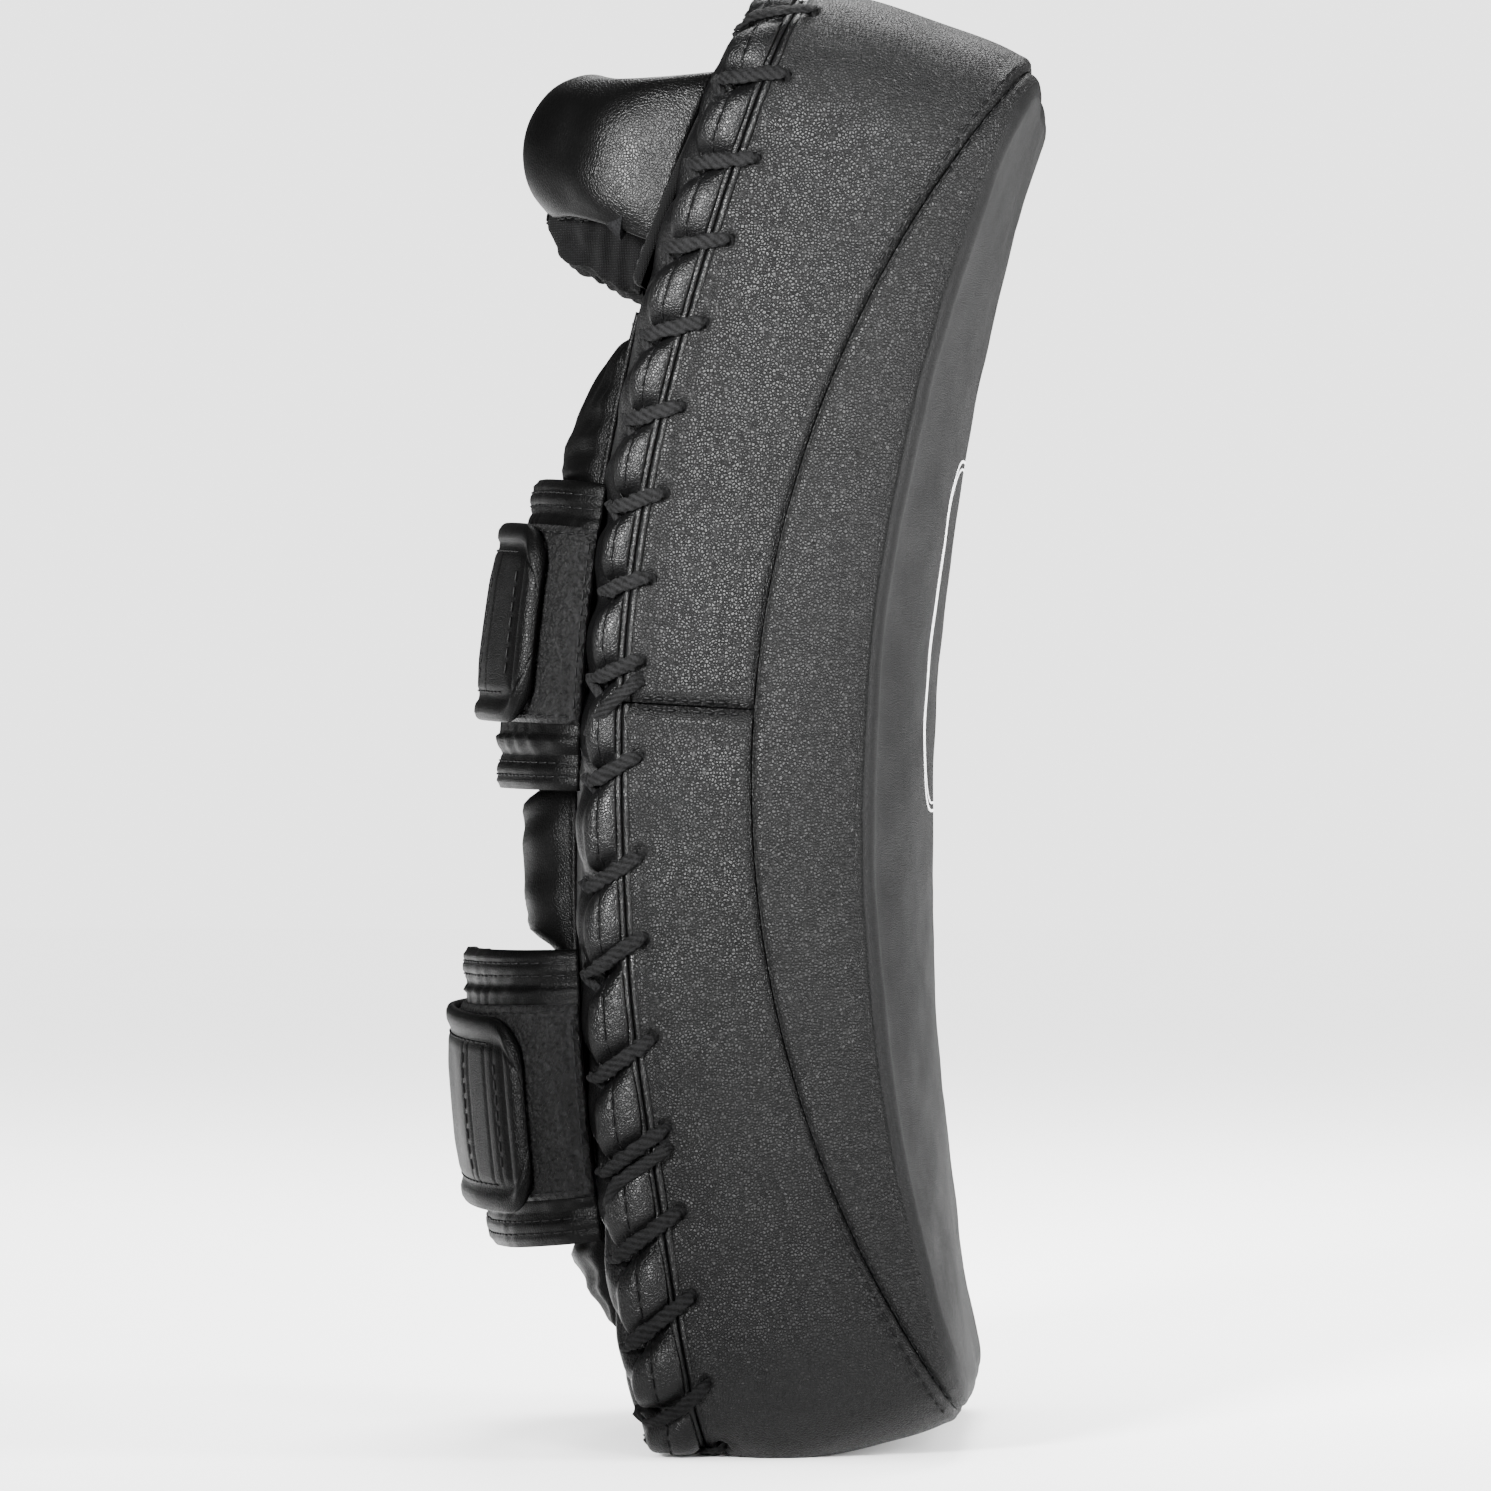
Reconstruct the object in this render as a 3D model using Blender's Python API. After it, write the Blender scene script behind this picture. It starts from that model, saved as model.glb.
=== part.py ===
"""Curved thai kick pad, standing on its lower end.

Pad coordinates: y across the width, s along the length, d from the strike face to the back.
The pad is bent about an axis in front of the strike face; place() does the bending.
World frame: +X is the strike side, -X the forearm side, +Z the length, z = 0 the rest plane.
"""
import math

import bpy

# ---------------------------------------------------------------- driving dimensions (metres)
BEND_R = 0.655          # strike face arc radius, along the length
MID_R = 0.690           # radius at which the length s is counted
LEAN = math.radians(3.0)
CENTRE_X = 0.70839      # bend axis, so the bounding box is centred on X
CENTRE_Z = 0.16100      # bend axis, so the squashed lower end lies at z = 0
HALF_W = 0.0985         # half width of the shell before it bulges
HALF_L = 0.1900         # half length of the shell before it bulges
CORNER = 0.030          # plan radius of the four corners
SIDE_BULGE = 0.0045
END_BULGE = 0.0070
SKIN = 0.0018           # leather thickness
GAP = 0.0003            # room left between touching pieces
EDGE_R = 0.007          # soft edge between strike face and side
EDGE_DROP = 0.0125      # how far the face falls from crown to long edge, mid length
END_DROP = 0.0028
SEAM_END, SEAM_MID = 0.0065, 0.0460   # depth of the curved side seam, ends and mid length
HEM_TOP, HEM_MID, HEM_LOW = 0.0695, 0.0760, 0.0765   # depth of the gusset's laced hem
LACE_GAP = 0.0032       # daylight between gusset hem and rear cover
RIM = 0.0125            # depth of the rear cover's turned rim
PITCH_COUNT = 50        # lace stitches round the perimeter
LACE_PHASE = 0.0102
MID_SEAM = 0.0048       # the side seam lies this far above mid length
LACE_W, LACE_T = 0.0038, 0.0015
HEM_HOLE, RIM_HOLE = 0.0040, 0.0054   # hole centres from the hem's edge and from the rim's edge
HOLE_P, HOLE_D = 0.0034, 0.0023       # half sizes of a lace hole
REAR_DOME = 0.006
HEM_LIFT = 0.0026       # the laced edge stays this far above the rest plane
RIM_TAPER = 0.0055      # the rear rim leans in by this much
ARM_W, ARM_LO, ARM_HI = 0.044, -0.156, 0.098
ROLL_S, ROLL_R_END, ROLL_R_MID = 0.1410, 0.0170, 0.0140
BASE_LO, BASE_HI, BASE_Y = 0.1105, 0.1690, 0.080
BASE_FOOT = 0.0952      # depth of the handle's feet
CUFF_A = 0.086          # half width of the cuff arch
CUFFS = {
    # centre and width of the band, arch height and its fall along the length, centre and width of
    # the strap, skew of the tab end
    "upper": {"s": 0.0205, "w": 0.077, "h": 0.0277, "tilt": 0.05, "ts": 0.0230,
              "tw": 0.049, "skew": 0.02},
    "lower": {"s": -0.0940, "w": 0.073, "h": 0.0385, "tilt": 0.0, "ts": -0.0950,
              "tw": 0.048, "skew": 0.16},
}

TAB_TURN, STRAP_TURN, ROOT_TURN = 24.0, 84.0, 172.0     # tab end, fold and root on the cuff arch
TURNS = (1.5, 6, 11, 15, 19, 24, 30, 37, 45, 55, 66, 76, 83.5, 84.5, 93, 100, 110, 120, 130, 140,
         149, 157, 164, 171.2)                          # shared stations of the cuff layers


# ---------------------------------------------------------------- shape functions
def place(y, s, d, inset=0.0):
    """Pad coordinates to world; the lower end is squashed flat where it rests."""
    phi = s / MID_R + LEAN
    r = BEND_R + d
    return (CENTRE_X - r * math.cos(phi), y, max(CENTRE_Z + r * math.sin(phi), inset))


def laced(d, s):
    """Extra lift of the laced hem and rim above the rest plane, clear of the lace below them."""
    return HEM_LIFT if d > hem_depth(s) - 0.0064 else 0.0


def share(s):
    """1 at mid length, 0 at the ends."""
    t = max(-1.0, min(1.0, s / HALF_L))
    return 1.0 - t * t


def seam_depth(s):
    return SEAM_END + (SEAM_MID - SEAM_END) * share(s)


def hem_depth(s):
    end = HEM_TOP if s > 0 else HEM_LOW
    return end + (HEM_MID - end) * share(s)


def drop(s):
    return END_DROP + (EDGE_DROP - END_DROP) * share(s)


def face_depth(y, s):
    """Fall of the strike face from its crown."""
    across = min(1.0, abs(y) / (HALF_W - EDGE_R)) ** 2.2
    return drop(s) * across + END_DROP * min(1.0, abs(s) / HALF_L) ** 4 * (1 - across)


HALF_STRAIGHT_W = HALF_W - CORNER
HALF_STRAIGHT_L = HALF_L - CORNER
ARC = CORNER * math.pi / 2
PERIMETER = 4 * (HALF_STRAIGHT_W + HALF_STRAIGHT_L + ARC)


def outline(p):
    """Point and outward normal (y, s, ny, ns) at distance p round the plan outline.

    p = 0 is the middle of the -Y side; p grows towards the upper end.
    """
    p = p % PERIMETER
    legs = (
        (HALF_STRAIGHT_L, "side", -1, 0), (ARC, "turn", -1, 1), (2 * HALF_STRAIGHT_W, "end", 0, 1),
        (ARC, "turn", 1, 1), (2 * HALF_STRAIGHT_L, "side", 1, 0), (ARC, "turn", 1, -1),
        (2 * HALF_STRAIGHT_W, "end", 0, -1), (ARC, "turn", -1, -1), (HALF_STRAIGHT_L, "side", -1, 0),
    )
    for n, (length, kind, a, b) in enumerate(legs):
        if p > length and n < len(legs) - 1:
            p -= length
            continue
        if kind == "side":
            if a < 0:
                s = p if n == 0 else -HALF_STRAIGHT_L + p
            else:
                s = HALF_STRAIGHT_L - p
            return a * HALF_W, s, float(a), 0.0
        if kind == "end":
            y = -HALF_STRAIGHT_W + p if b > 0 else HALF_STRAIGHT_W - p
            return y, b * HALF_L, 0.0, float(b)
        turn = p / CORNER
        if a * b < 0:
            ny, ns = a * math.cos(turn), b * math.sin(turn)
        else:
            ny, ns = a * math.sin(turn), b * math.cos(turn)
        return a * HALF_STRAIGHT_W + CORNER * ny, b * HALF_STRAIGHT_L + CORNER * ns, ny, ns
    raise ValueError("p is outside the outline")


def bulge(ns, d):
    amount = SIDE_BULGE + (END_BULGE - SIDE_BULGE) * ns * ns
    x = abs(d - 0.036) / 0.036
    return amount * (1.0 - min(x, 1.0) ** (2 + 2 * ns * ns))


def side_point(p, d, off=0.0, inset=0.0):
    """A point on the shell's side wall, moved outwards by off."""
    y, s, ny, ns = outline(p)
    b = bulge(ns, d) + off
    rim = (d - hem_depth(s) - LACE_GAP) / RIM
    b -= RIM_TAPER * max(0.0, min(1.0, rim)) ** 1.5
    return place(y + ny * b, s + ns * b, d, inset + laced(d, s))


def front_point(p, k, turn, inward):
    """A point of the strike face (k below 1) or of its soft edge (turn 0 to pi/2)."""
    y, s, ny, ns = outline(p)
    d0 = drop(s)
    d = d0 + EDGE_R * (1 - math.cos(turn))
    off = bulge(ns, d) - EDGE_R * (1 - math.sin(turn))
    y, s = y + ny * off, s + ns * off
    if k < 1.0:
        d = face_depth(y * k, s * k) * (1 - k ** 9) + d0 * k ** 9
        return place(y * k, s * k, d + inward, inward)
    return place(y - ny * inward * math.sin(turn), s - ns * inward * math.sin(turn),
                 d + inward * math.cos(turn), inward)


def rear_depth(y, s):
    """Depth of the rear cover's outer face."""
    dome = (1 - min(1.0, abs(y) / 0.092) ** 2) * (1 - min(1.0, abs(s) / 0.180) ** 4)
    return hem_depth(s) + LACE_GAP + RIM + REAR_DOME * dome


def arm_crest(y, s):
    """Depth of the arm cushion's outer face: a pillow, pinched under the two cuffs."""
    across = (1 - min(1.0, abs(y) / ARM_W) ** 3.0) ** 0.6
    mid, half = (ARM_LO + ARM_HI) / 2, (ARM_HI - ARM_LO) / 2
    along = (1 - min(1.0, abs(s - mid) / half) ** 4.0) ** 0.6
    height = 0.0150
    for cuff in CUFFS.values():
        x = (s - cuff["s"]) / 0.0490
        height -= 0.0120 * math.exp(-x ** 10)
    return rear_depth(y, s) + height * across * along


# ---------------------------------------------------------------- small helpers
def steps(a, b, n):
    return [a + (b - a) * i / n for i in range(n + 1)]


def sub(a, b):
    return (a[0] - b[0], a[1] - b[1], a[2] - b[2])


def mul(a, k):
    return (a[0] * k, a[1] * k, a[2] * k)


def dot(a, b):
    return a[0] * b[0] + a[1] * b[1] + a[2] * b[2]


def cross(a, b):
    return (a[1] * b[2] - a[2] * b[1], a[2] * b[0] - a[0] * b[2], a[0] * b[1] - a[1] * b[0])


def unit(a):
    size = math.sqrt(dot(a, a))
    return mul(a, 1.0 / size)


# ---------------------------------------------------------------- mesh helpers
def make_object(name, verts, faces, slot, smooth=False):
    mesh = bpy.data.meshes.new(name)
    mesh.from_pydata(verts, [], faces)
    mesh.validate()
    mesh.update()
    if smooth:
        mesh.polygons.foreach_set("use_smooth", [True] * len(mesh.polygons))
    mesh.materials.append(MATERIALS[slot])
    obj = bpy.data.objects.new(name, mesh)
    bpy.context.collection.objects.link(obj)
    return obj


def sheet(name, outer, inner, slot, closed=False, holes=(), cap=False):
    """Solid between two equal grids of points: outer[i][j] and inner[i][j].

    closed joins the last i to the first; holes are the (i, j) cells left open; cap closes the
    j = 0 border of a closed grid with one point instead of a wall.
    """
    ni, nj = len(outer), len(outer[0])
    verts = [v for col in outer for v in col] + [v for col in inner for v in col]
    base = ni * nj
    faces = []
    cells = ni if closed else ni - 1

    def at(i, j, side):
        return side * base + (i % ni) * nj + j

    for i in range(cells):
        for j in range(nj - 1):
            quad = (at(i, j, 0), at(i, j + 1, 0), at(i + 1, j + 1, 0), at(i + 1, j, 0))
            if (i, j) in holes:
                ring = quad
                for a, b in zip(ring, ring[1:] + ring[:1]):
                    faces.append((a, b, b + base, a + base))
                continue
            faces.append(quad)
            faces.append(tuple(q + base for q in reversed(quad)))
    for i in range(cells):
        last = nj - 1
        faces.append((at(i, last, 0), at(i, last, 1), at(i + 1, last, 1), at(i + 1, last, 0)))
        if not cap:
            faces.append((at(i + 1, 0, 0), at(i + 1, 0, 1), at(i, 0, 1), at(i, 0, 0)))
    if cap:
        for side in (0, 1):
            total = [sum(verts[at(i, 0, side)][n] for i in range(ni)) / ni for n in range(3)]
            verts.append(tuple(total))
            hub = len(verts) - 1
            for i in range(ni):
                tri = (at(i, 0, side), at(i + 1, 0, side), hub)
                faces.append(tri if side == 0 else tri[::-1])
    if not closed:
        for j in range(nj - 1):
            faces.append((at(0, j, 0), at(0, j, 1), at(0, j + 1, 1), at(0, j + 1, 0)))
            end = ni - 1
            faces.append((at(end, j + 1, 0), at(end, j + 1, 1), at(end, j, 1), at(end, j, 0)))
    return outward(make_object(name, verts, faces, slot))


def outward(obj):
    """Turn the faces outwards if the signed volume says they face inwards."""
    mesh = obj.data
    total = 0.0
    for poly in mesh.polygons:
        pts = [mesh.vertices[v].co for v in poly.vertices]
        for a, b in zip(pts[1:], pts[2:]):
            total += pts[0].dot(a.cross(b))
    if total < 0:
        mesh.flip_normals()
    return obj


def loft(name, rings, slot):
    """Solid through a list of equal rings, closed by a fan at each end."""
    n = len(rings[0])
    verts = [v for ring in rings for v in ring]
    faces = []
    for k in range(len(rings) - 1):
        for i in range(n):
            a, b = k * n + i, k * n + (i + 1) % n
            faces.append((a, b, b + n, a + n))
    for k, flip in ((0, True), (len(rings) - 1, False)):
        ring = rings[k]
        verts.append(tuple(sum(v[c] for v in ring) / n for c in range(3)))
        hub = len(verts) - 1
        for i in range(n):
            tri = (k * n + i, k * n + (i + 1) % n, hub)
            faces.append(tri[::-1] if flip else tri)
    return outward(make_object(name, verts, faces, slot))


# ---------------------------------------------------------------- materials
def material(name, colour, roughness):
    mat = bpy.data.materials.new(name)
    mat.use_nodes = True
    shader = mat.node_tree.nodes["Principled BSDF"]
    shader.inputs["Base Color"].default_value = (*colour, 1.0)
    shader.inputs["Roughness"].default_value = roughness
    return mat


bpy.ops.object.select_all(action="DESELECT")
for old in list(bpy.data.objects):
    bpy.data.objects.remove(old, do_unlink=True)
MATERIALS = {
    "black_leather": material("black_leather", (0.018, 0.018, 0.019), 0.5),
    "black_lining": material("black_lining", (0.014, 0.014, 0.014), 0.8),
    "foam": material("foam", (0.12, 0.12, 0.13), 0.9),
    "hook_and_loop": material("hook_and_loop", (0.012, 0.012, 0.013), 0.95),
    "black_lace": material("black_lace", (0.016, 0.016, 0.017), 0.85),
}


# ---------------------------------------------------------------- shell
def hole_stations():
    """Where the lace passes the gusset hem and the rear rim, as distances round the outline."""
    pitch = PERIMETER / PITCH_COUNT
    out = []
    for k in range(PITCH_COUNT):
        p = LACE_PHASE - k * pitch
        s = outline(p)[1]
        slant = 0.0085 - 0.018 * s          # steeper towards the lower end
        out.append((p, p - slant))
    return out


STATIONS = hole_stations()
REAR_RINGS = (1.0, 0.8, 0.6, 0.4, 0.2)


def columns(centres, lo, hi, extra=()):
    """Outline stations between lo and hi: both borders of every hole, and the corner points."""
    marks = []
    for c in centres:
        while c < lo:
            c += PERIMETER
        while c > hi:
            c -= PERIMETER
        if lo + HOLE_P < c < hi - HOLE_P:
            marks += [(c - HOLE_P, True), (c + HOLE_P, False)]
    for e in extra:
        if all(abs(e - m) > 0.0045 for m, _ in marks):
            marks.append((e, False))
    return sorted(marks)


def corner_marks():
    marks = []
    start = HALF_STRAIGHT_L
    for span in (2 * HALF_STRAIGHT_W, 2 * HALF_STRAIGHT_L, 2 * HALF_STRAIGHT_W, 0.0):
        marks += [start + ARC * f for f in (0.0, 0.25, 0.5, 0.75, 1.0)]
        start += ARC + span
    return marks


def gusset(name, lo, hi):
    """One half of the side wall: from mid side, round an end, to mid side."""
    inside = [m for m in corner_marks() if lo < m < hi]
    cols = columns([g for g, _ in STATIONS], lo, hi, inside)
    marks = [(lo + GAP / 2, False)] + cols + [(hi - GAP / 2, False)]
    outer, inner, holes = [], [], set()
    for i, (p, opens) in enumerate(marks):
        s = outline(p)[1]
        top, hem = seam_depth(s) + GAP, hem_depth(s)
        flank = hem - 0.0068
        depths = [top + (flank - top) * f for f in (0.0, 0.35, 0.58, 1.0)]
        depths += [hem - HEM_HOLE - HOLE_D, hem - HEM_HOLE + HOLE_D, hem]
        front = [0.0] * len(depths)
        if top < drop(s) + EDGE_R + 0.001:      # the seam lies on the soft edge near the ends
            for j, d in enumerate(depths):
                x = (drop(s) + EDGE_R - d) / EDGE_R
                front[j] = EDGE_R * (1 - math.sqrt(max(0.0, 1 - x * x))) if x > 0 else 0.0
        outer.append([side_point(p, d, -f) for d, f in zip(depths, front)])
        inner.append([side_point(p, d + (SKIN * 0.5 if f else 0), -SKIN - f, SKIN)
                      for d, f in zip(depths, front)])
        if opens:
            holes.add((i, 4))
    return sheet(name, outer, inner, "black_leather", holes=holes)


def front_cover():
    """Strike face with its soft edge and the side lens down to the curved seam."""
    n = 44
    outer, inner = [], []
    for i in range(n):
        p = PERIMETER * i / n
        s = outline(p)[1]
        seam = seam_depth(s)
        cols = []
        for inward in (0.0, SKIN):
            col = [front_point(p, k, 0.0, inward) for k in (0.2, 0.4, 0.6, 0.8, 0.93)]
            limit = math.acos(max(0.0, min(1.0, 1 - (seam - drop(s)) / EDGE_R)))
            col += [front_point(p, 1.0, limit * f, inward) for f in (0.0, 0.5, 1.0)]
            if seam > drop(s) + EDGE_R + 0.0005:
                col += [side_point(p, d, -inward, inward) for d in
                        steps(drop(s) + EDGE_R, seam, 2)[1:]]
            else:
                last = front_point(p, 1.0, limit, inward)
                col[-1] = front_point(p, 1.0, limit * 0.9, inward)
                col += [front_point(p, 1.0, limit * 0.95, inward), last]
            cols.append(col)
        outer.append(cols[0])
        inner.append(cols[1])
    return sheet("front_cover", outer, inner, "black_leather", closed=True, cap=True)


def rear_cover():
    """Rear panel with a turned rim that carries the second row of lace holes."""
    start = 0.013                           # between two holes
    marks = columns([r for _, r in STATIONS], start, PERIMETER + start, corner_marks())
    outer, inner, holes = [], [], set()
    for i, (p, opens) in enumerate(marks):
        y, s, ny, ns = outline(p)
        edge = hem_depth(s) + LACE_GAP
        rim = [(edge, 0.0), (edge + RIM_HOLE - HOLE_D, 0.0), (edge + RIM_HOLE + HOLE_D, 0.0),
               (edge + RIM - 0.0010, -0.0010)]
        col_o = [side_point(p, d, o) for d, o in rim]
        col_i = [side_point(p, min(d, edge + RIM - SKIN), o - SKIN, SKIN) for d, o in rim]
        for k in REAR_RINGS:
            b = -RIM_TAPER - (0.003 if k == REAR_RINGS[0] else 0.006)
            yy, ss = (y + ny * b) * k, (s + ns * b) * k
            col_o.append(place(yy, ss, rear_depth(yy, ss), HEM_LIFT))
            col_i.append(place(yy, ss, rear_depth(yy, ss) - SKIN, HEM_LIFT + SKIN))
        outer.append(col_o[::-1])
        inner.append(col_i[::-1])
        if opens:
            holes.add((i, len(REAR_RINGS) + 1))
    return sheet("rear_cover", outer, inner, "black_leather", closed=True, holes=holes, cap=True)


def foam_block(name, layers, n=36):
    """Foam through rings given as (depth function, inset, scale), with domed caps."""
    rings = []
    for depth, inset, k in layers:
        ring = []
        for i in range(n):
            p = PERIMETER * (i + 0.5) / n
            y, s, ny, ns = outline(p)
            off = bulge(ns, depth(y, s)) - inset
            y, s = (y + ny * off) * k, (s + ns * off) * k
            d = depth(y, s)
            ring.append(place(y, s, d, inset + 0.0009 + laced(d + 0.002, s)))
        rings.append(ring)
    return loft(name, rings, "foam")


def shell():
    front_cover()
    near, far = MID_SEAM, PERIMETER / 2 - MID_SEAM
    gusset("gusset_upper", near, far)
    gusset("gusset_lower", far, PERIMETER + near)
    rear_cover()
    wall = SKIN + GAP

    def crown(y, s):
        return face_depth(y, s) + wall + 0.0012

    def flat(depth):
        return lambda y, s: depth + 0.35 * (hem_depth(s) - HEM_TOP)

    def slab(depth):
        return [(flat(depth), snug, k) for k in (1.0, 0.8, 0.6, 0.4, 0.2)]

    snug = wall + 0.0023

    def under_rear(y, s):
        return rear_depth(y, s) - SKIN - 0.0012

    foam_block("foam_strike", [
        *[(crown, 0.006, k) for k in (0.2, 0.4, 0.6, 0.8, 0.92)],
        (lambda y, s: drop(s) + wall + 0.0020, EDGE_R + 0.002, 1.0),
        (lambda y, s: drop(s) + EDGE_R + 0.003, snug + 0.0010, 1.0)] + slab(0.0255))
    foam_block("foam_core", slab(0.0266)[::-1] + slab(0.0430)[:1] + slab(0.0560))
    foam_block("foam_back", slab(0.0571)[::-1] + [
        (flat(0.0600), 0.0068, 1.0), (flat(0.0720), 0.0070, 1.0), (under_rear, 0.0150, 1.0)]
        + [(under_rear, 0.0130, k) for k in REAR_RINGS[1:]])


# ---------------------------------------------------------------- lace
def lace():
    """One captive lace whip-stitched through both rows of holes, all the way round."""
    path = []
    for g, r in STATIONS:
        s_g, s_r = outline(g)[1], outline(r)[1]
        d_g = hem_depth(s_g) - HEM_HOLE
        d_r = hem_depth(s_r) + LACE_GAP + RIM_HOLE
        path += [
            (g, d_g - 0.0006, -0.0037, False), (g + (r - g) * 0.12, d_g + 0.0018, 0.0015, True),
            (g + (r - g) * 0.88, d_r - 0.0018, 0.0014, True), (r, d_r + 0.0006, -0.0037, False),
        ]
    pts = []
    for p, d, o, flat in path:
        ny, ns = outline(p)[2:]
        clear = 0.0010 * abs(ny * ns) * 2 if flat else 0.0       # a straight stitch cuts the corner
        pts.append(side_point(p, d, o + clear, -o - clear * 0.5))
    rings = []
    for i, (p, d, o, flat) in enumerate(path):
        here, before, after = pts[i], pts[max(i - 1, 0)], pts[min(i + 1, len(pts) - 1)]
        steps_in = [unit(sub(b, a)) for a, b in ((before, here), (here, after)) if a != b]
        tangent = unit([sum(c) for c in zip(*steps_in)])
        round_p = unit(sub(side_point(p + 0.002, d, o, -o), side_point(p - 0.002, d, o, -o)))
        wide = unit(sub(round_p, mul(tangent, dot(round_p, tangent))))
        thin = unit(cross(tangent, wide))
        a, b = (LACE_W / 2, LACE_T / 2) if flat else (0.0013, 0.0010)
        ring = []
        for q in range(6):
            ang = math.pi / 3 * q
            c, e = math.cos(ang) * a, math.sin(ang) * b * 1.15
            ring.append(tuple(here[n] + wide[n] * c + thin[n] * e for n in range(3)))
        rings.append(ring)
    return loft("lace", rings, "black_lace")


# ---------------------------------------------------------------- forearm side
def arm_pad():
    """Padded forearm cushion: leather cover with a sewn flange, foam pillow inside."""
    ys = [f * (ARM_W + 0.006) for f in (-1, -0.87, -0.8, -0.6, -0.3, 0, 0.3, 0.6, 0.8, 0.87, 1)]
    ss = [ARM_LO - 0.006, ARM_LO, ARM_LO + 0.006, ARM_LO + 0.022]
    ss += steps(ARM_LO + 0.036, ARM_HI - 0.030, 13)
    ss += [ARM_HI - 0.014, ARM_HI - 0.004, ARM_HI, ARM_HI + 0.006]
    outer, inner = [], []
    for s in ss:
        col_o, col_i = [], []
        for y in ys:
            lift = arm_crest(y, s) - rear_depth(y, s)
            base = rear_depth(y, s) + GAP
            col_o.append(place(y, s, base + 0.0014 + lift))
            col_i.append(place(y, s, base + lift))
        outer.append(col_o)
        inner.append(col_i)
    sheet("arm_pad_cover", outer, inner, "black_leather")
    top, bottom = [], []
    for s in ss[3:-3]:
        col_t, col_b = [], []
        for y in ys[3:-3]:
            lift = arm_crest(y, s) - rear_depth(y, s)
            base = rear_depth(y, s) + GAP
            col_t.append(place(y, s, base + max(0.0010, lift - 0.0009)))
            col_b.append(place(y, s, base + 0.0004))
        top.append(col_t)
        bottom.append(col_b)
    sheet("arm_pad_foam", top, bottom, "foam")


def roll_centre(y):
    """Depth of the handle roll's middle, arched over the width."""
    return 0.1180 + 0.0040 * (1 - (y / 0.055) ** 2)


def handle_rings(shrink, n=16):
    """Rings of the handle: flared foot, up the leg, along the roll, down to the other foot."""
    rings = []
    legs = []
    for f in (0.0, 0.18, 0.4, 0.65, 0.85, 1.0):
        a = math.pi / 2 * f
        y = -0.074 + 0.024 * (1 - math.cos(a))
        d = BASE_FOOT + (roll_centre(-0.050) - BASE_FOOT) * math.sin(a)
        flare = math.exp(-(f / 0.34) ** 1.3)
        legs.append((y, d, a, 0.0150 + 0.0125 * flare, 0.0060 + 0.0085 * f))
    for y, d, a, half_s, half_n in legs:
        rings.append((y, d, a, half_s - shrink, half_n - shrink))
    for y in (-0.034, -0.017, 0.0, 0.017, 0.034):
        k = (y / 0.05) ** 2
        r = ROLL_R_MID + (ROLL_R_END - ROLL_R_MID) * k
        rings.append((y, roll_centre(y), math.pi / 2, r - shrink, r - shrink))
    rings += [(-y, d, math.pi - a, hs - shrink, hn - shrink) for y, d, a, hs, hn in reversed(legs)]
    out = []
    for y, d, a, hs, hn in rings:
        ring = []
        for q in range(n):
            ang = 2 * math.pi * q / n
            off_s, off_n = hs * math.cos(ang), hn * math.sin(ang)
            # the ring's own plane turns from lying on the base (a = 0) to standing across the width
            ring.append(place(y - off_n * math.cos(a), ROLL_S - 0.001 + off_s,
                              d + off_n * math.sin(a)))
        out.append(ring)
    return out


def handle():
    outer, inner = handle_rings(0.0), handle_rings(0.0018)
    sheet("handle_cover", [[ring[q] for ring in outer] for q in range(len(outer[0]))],
          [[ring[q] for ring in inner] for q in range(len(inner[0]))], "black_leather", closed=True)
    loft("handle_core", handle_rings(0.0026)[1:-1], "foam")
    ys, ss = steps(-BASE_Y, BASE_Y, 8), steps(BASE_LO, BASE_HI, 3)
    sheet("handle_base",
          [[place(y, s, rear_depth(y, s) + 0.0026) for s in ss] for y in ys],
          [[place(y, s, rear_depth(y, s) + GAP) for s in ss] for y in ys], "black_lining")
    top, bottom = [], []
    for y in steps(-0.040, 0.040, 6):
        low_s, low_d = BASE_LO + 0.0028, rear_depth(y, BASE_LO) + 0.0032
        r = ROLL_R_MID + (ROLL_R_END - ROLL_R_MID) * (y / 0.05) ** 2
        high_s, high_d = ROLL_S - 0.001 - r * 0.97 - 0.0020, roll_centre(y) - r * 0.20
        col_t, col_b = [], []
        for f in (0.0, 0.25, 0.5, 0.75, 1.0):
            sag = 0.0045 * math.sin(math.pi * f)
            s, d = low_s + (high_s - low_s) * f - sag, low_d + (high_d - low_d) * f
            col_t.append(place(y, s - 0.0009, d + 0.0003))
            col_b.append(place(y, s + 0.0006, d + 0.0003))
        top.append(col_t)
        bottom.append(col_b)
    sheet("handle_lining", top, bottom, "black_lining")


def arch(cuff, turn, off, s):
    """Cuff cross section at length s: point (y, d) at angle turn, moved outwards by off."""
    a, h = CUFF_A, cuff["h"] - cuff["tilt"] * (s - cuff["s"])
    foot = rear_depth(a, s) + 0.0003
    y, d = -a * math.cos(turn), h * math.sin(turn)
    ny, nd = -math.cos(turn) / a, math.sin(turn) / h
    size = math.hypot(ny, nd)
    return y + off * ny / size, foot + d + off * nd / size


def band(name, cuff, turns, spans, lo, hi, slot):
    """A layer of a cuff between two offsets; spans(turn) gives its lower and upper s."""
    outer, inner = [], []
    for turn in turns:
        s0, s1 = spans(turn)
        col_o, col_i = [], []
        for s in steps(s0, s1, 4):
            for off, col in ((hi, col_o), (lo, col_i)):
                y, d = arch(cuff, turn, off, s)
                col.append(place(y, s, d))
        outer.append(col_o)
        inner.append(col_i)
    return sheet(name, outer, inner, slot)


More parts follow.
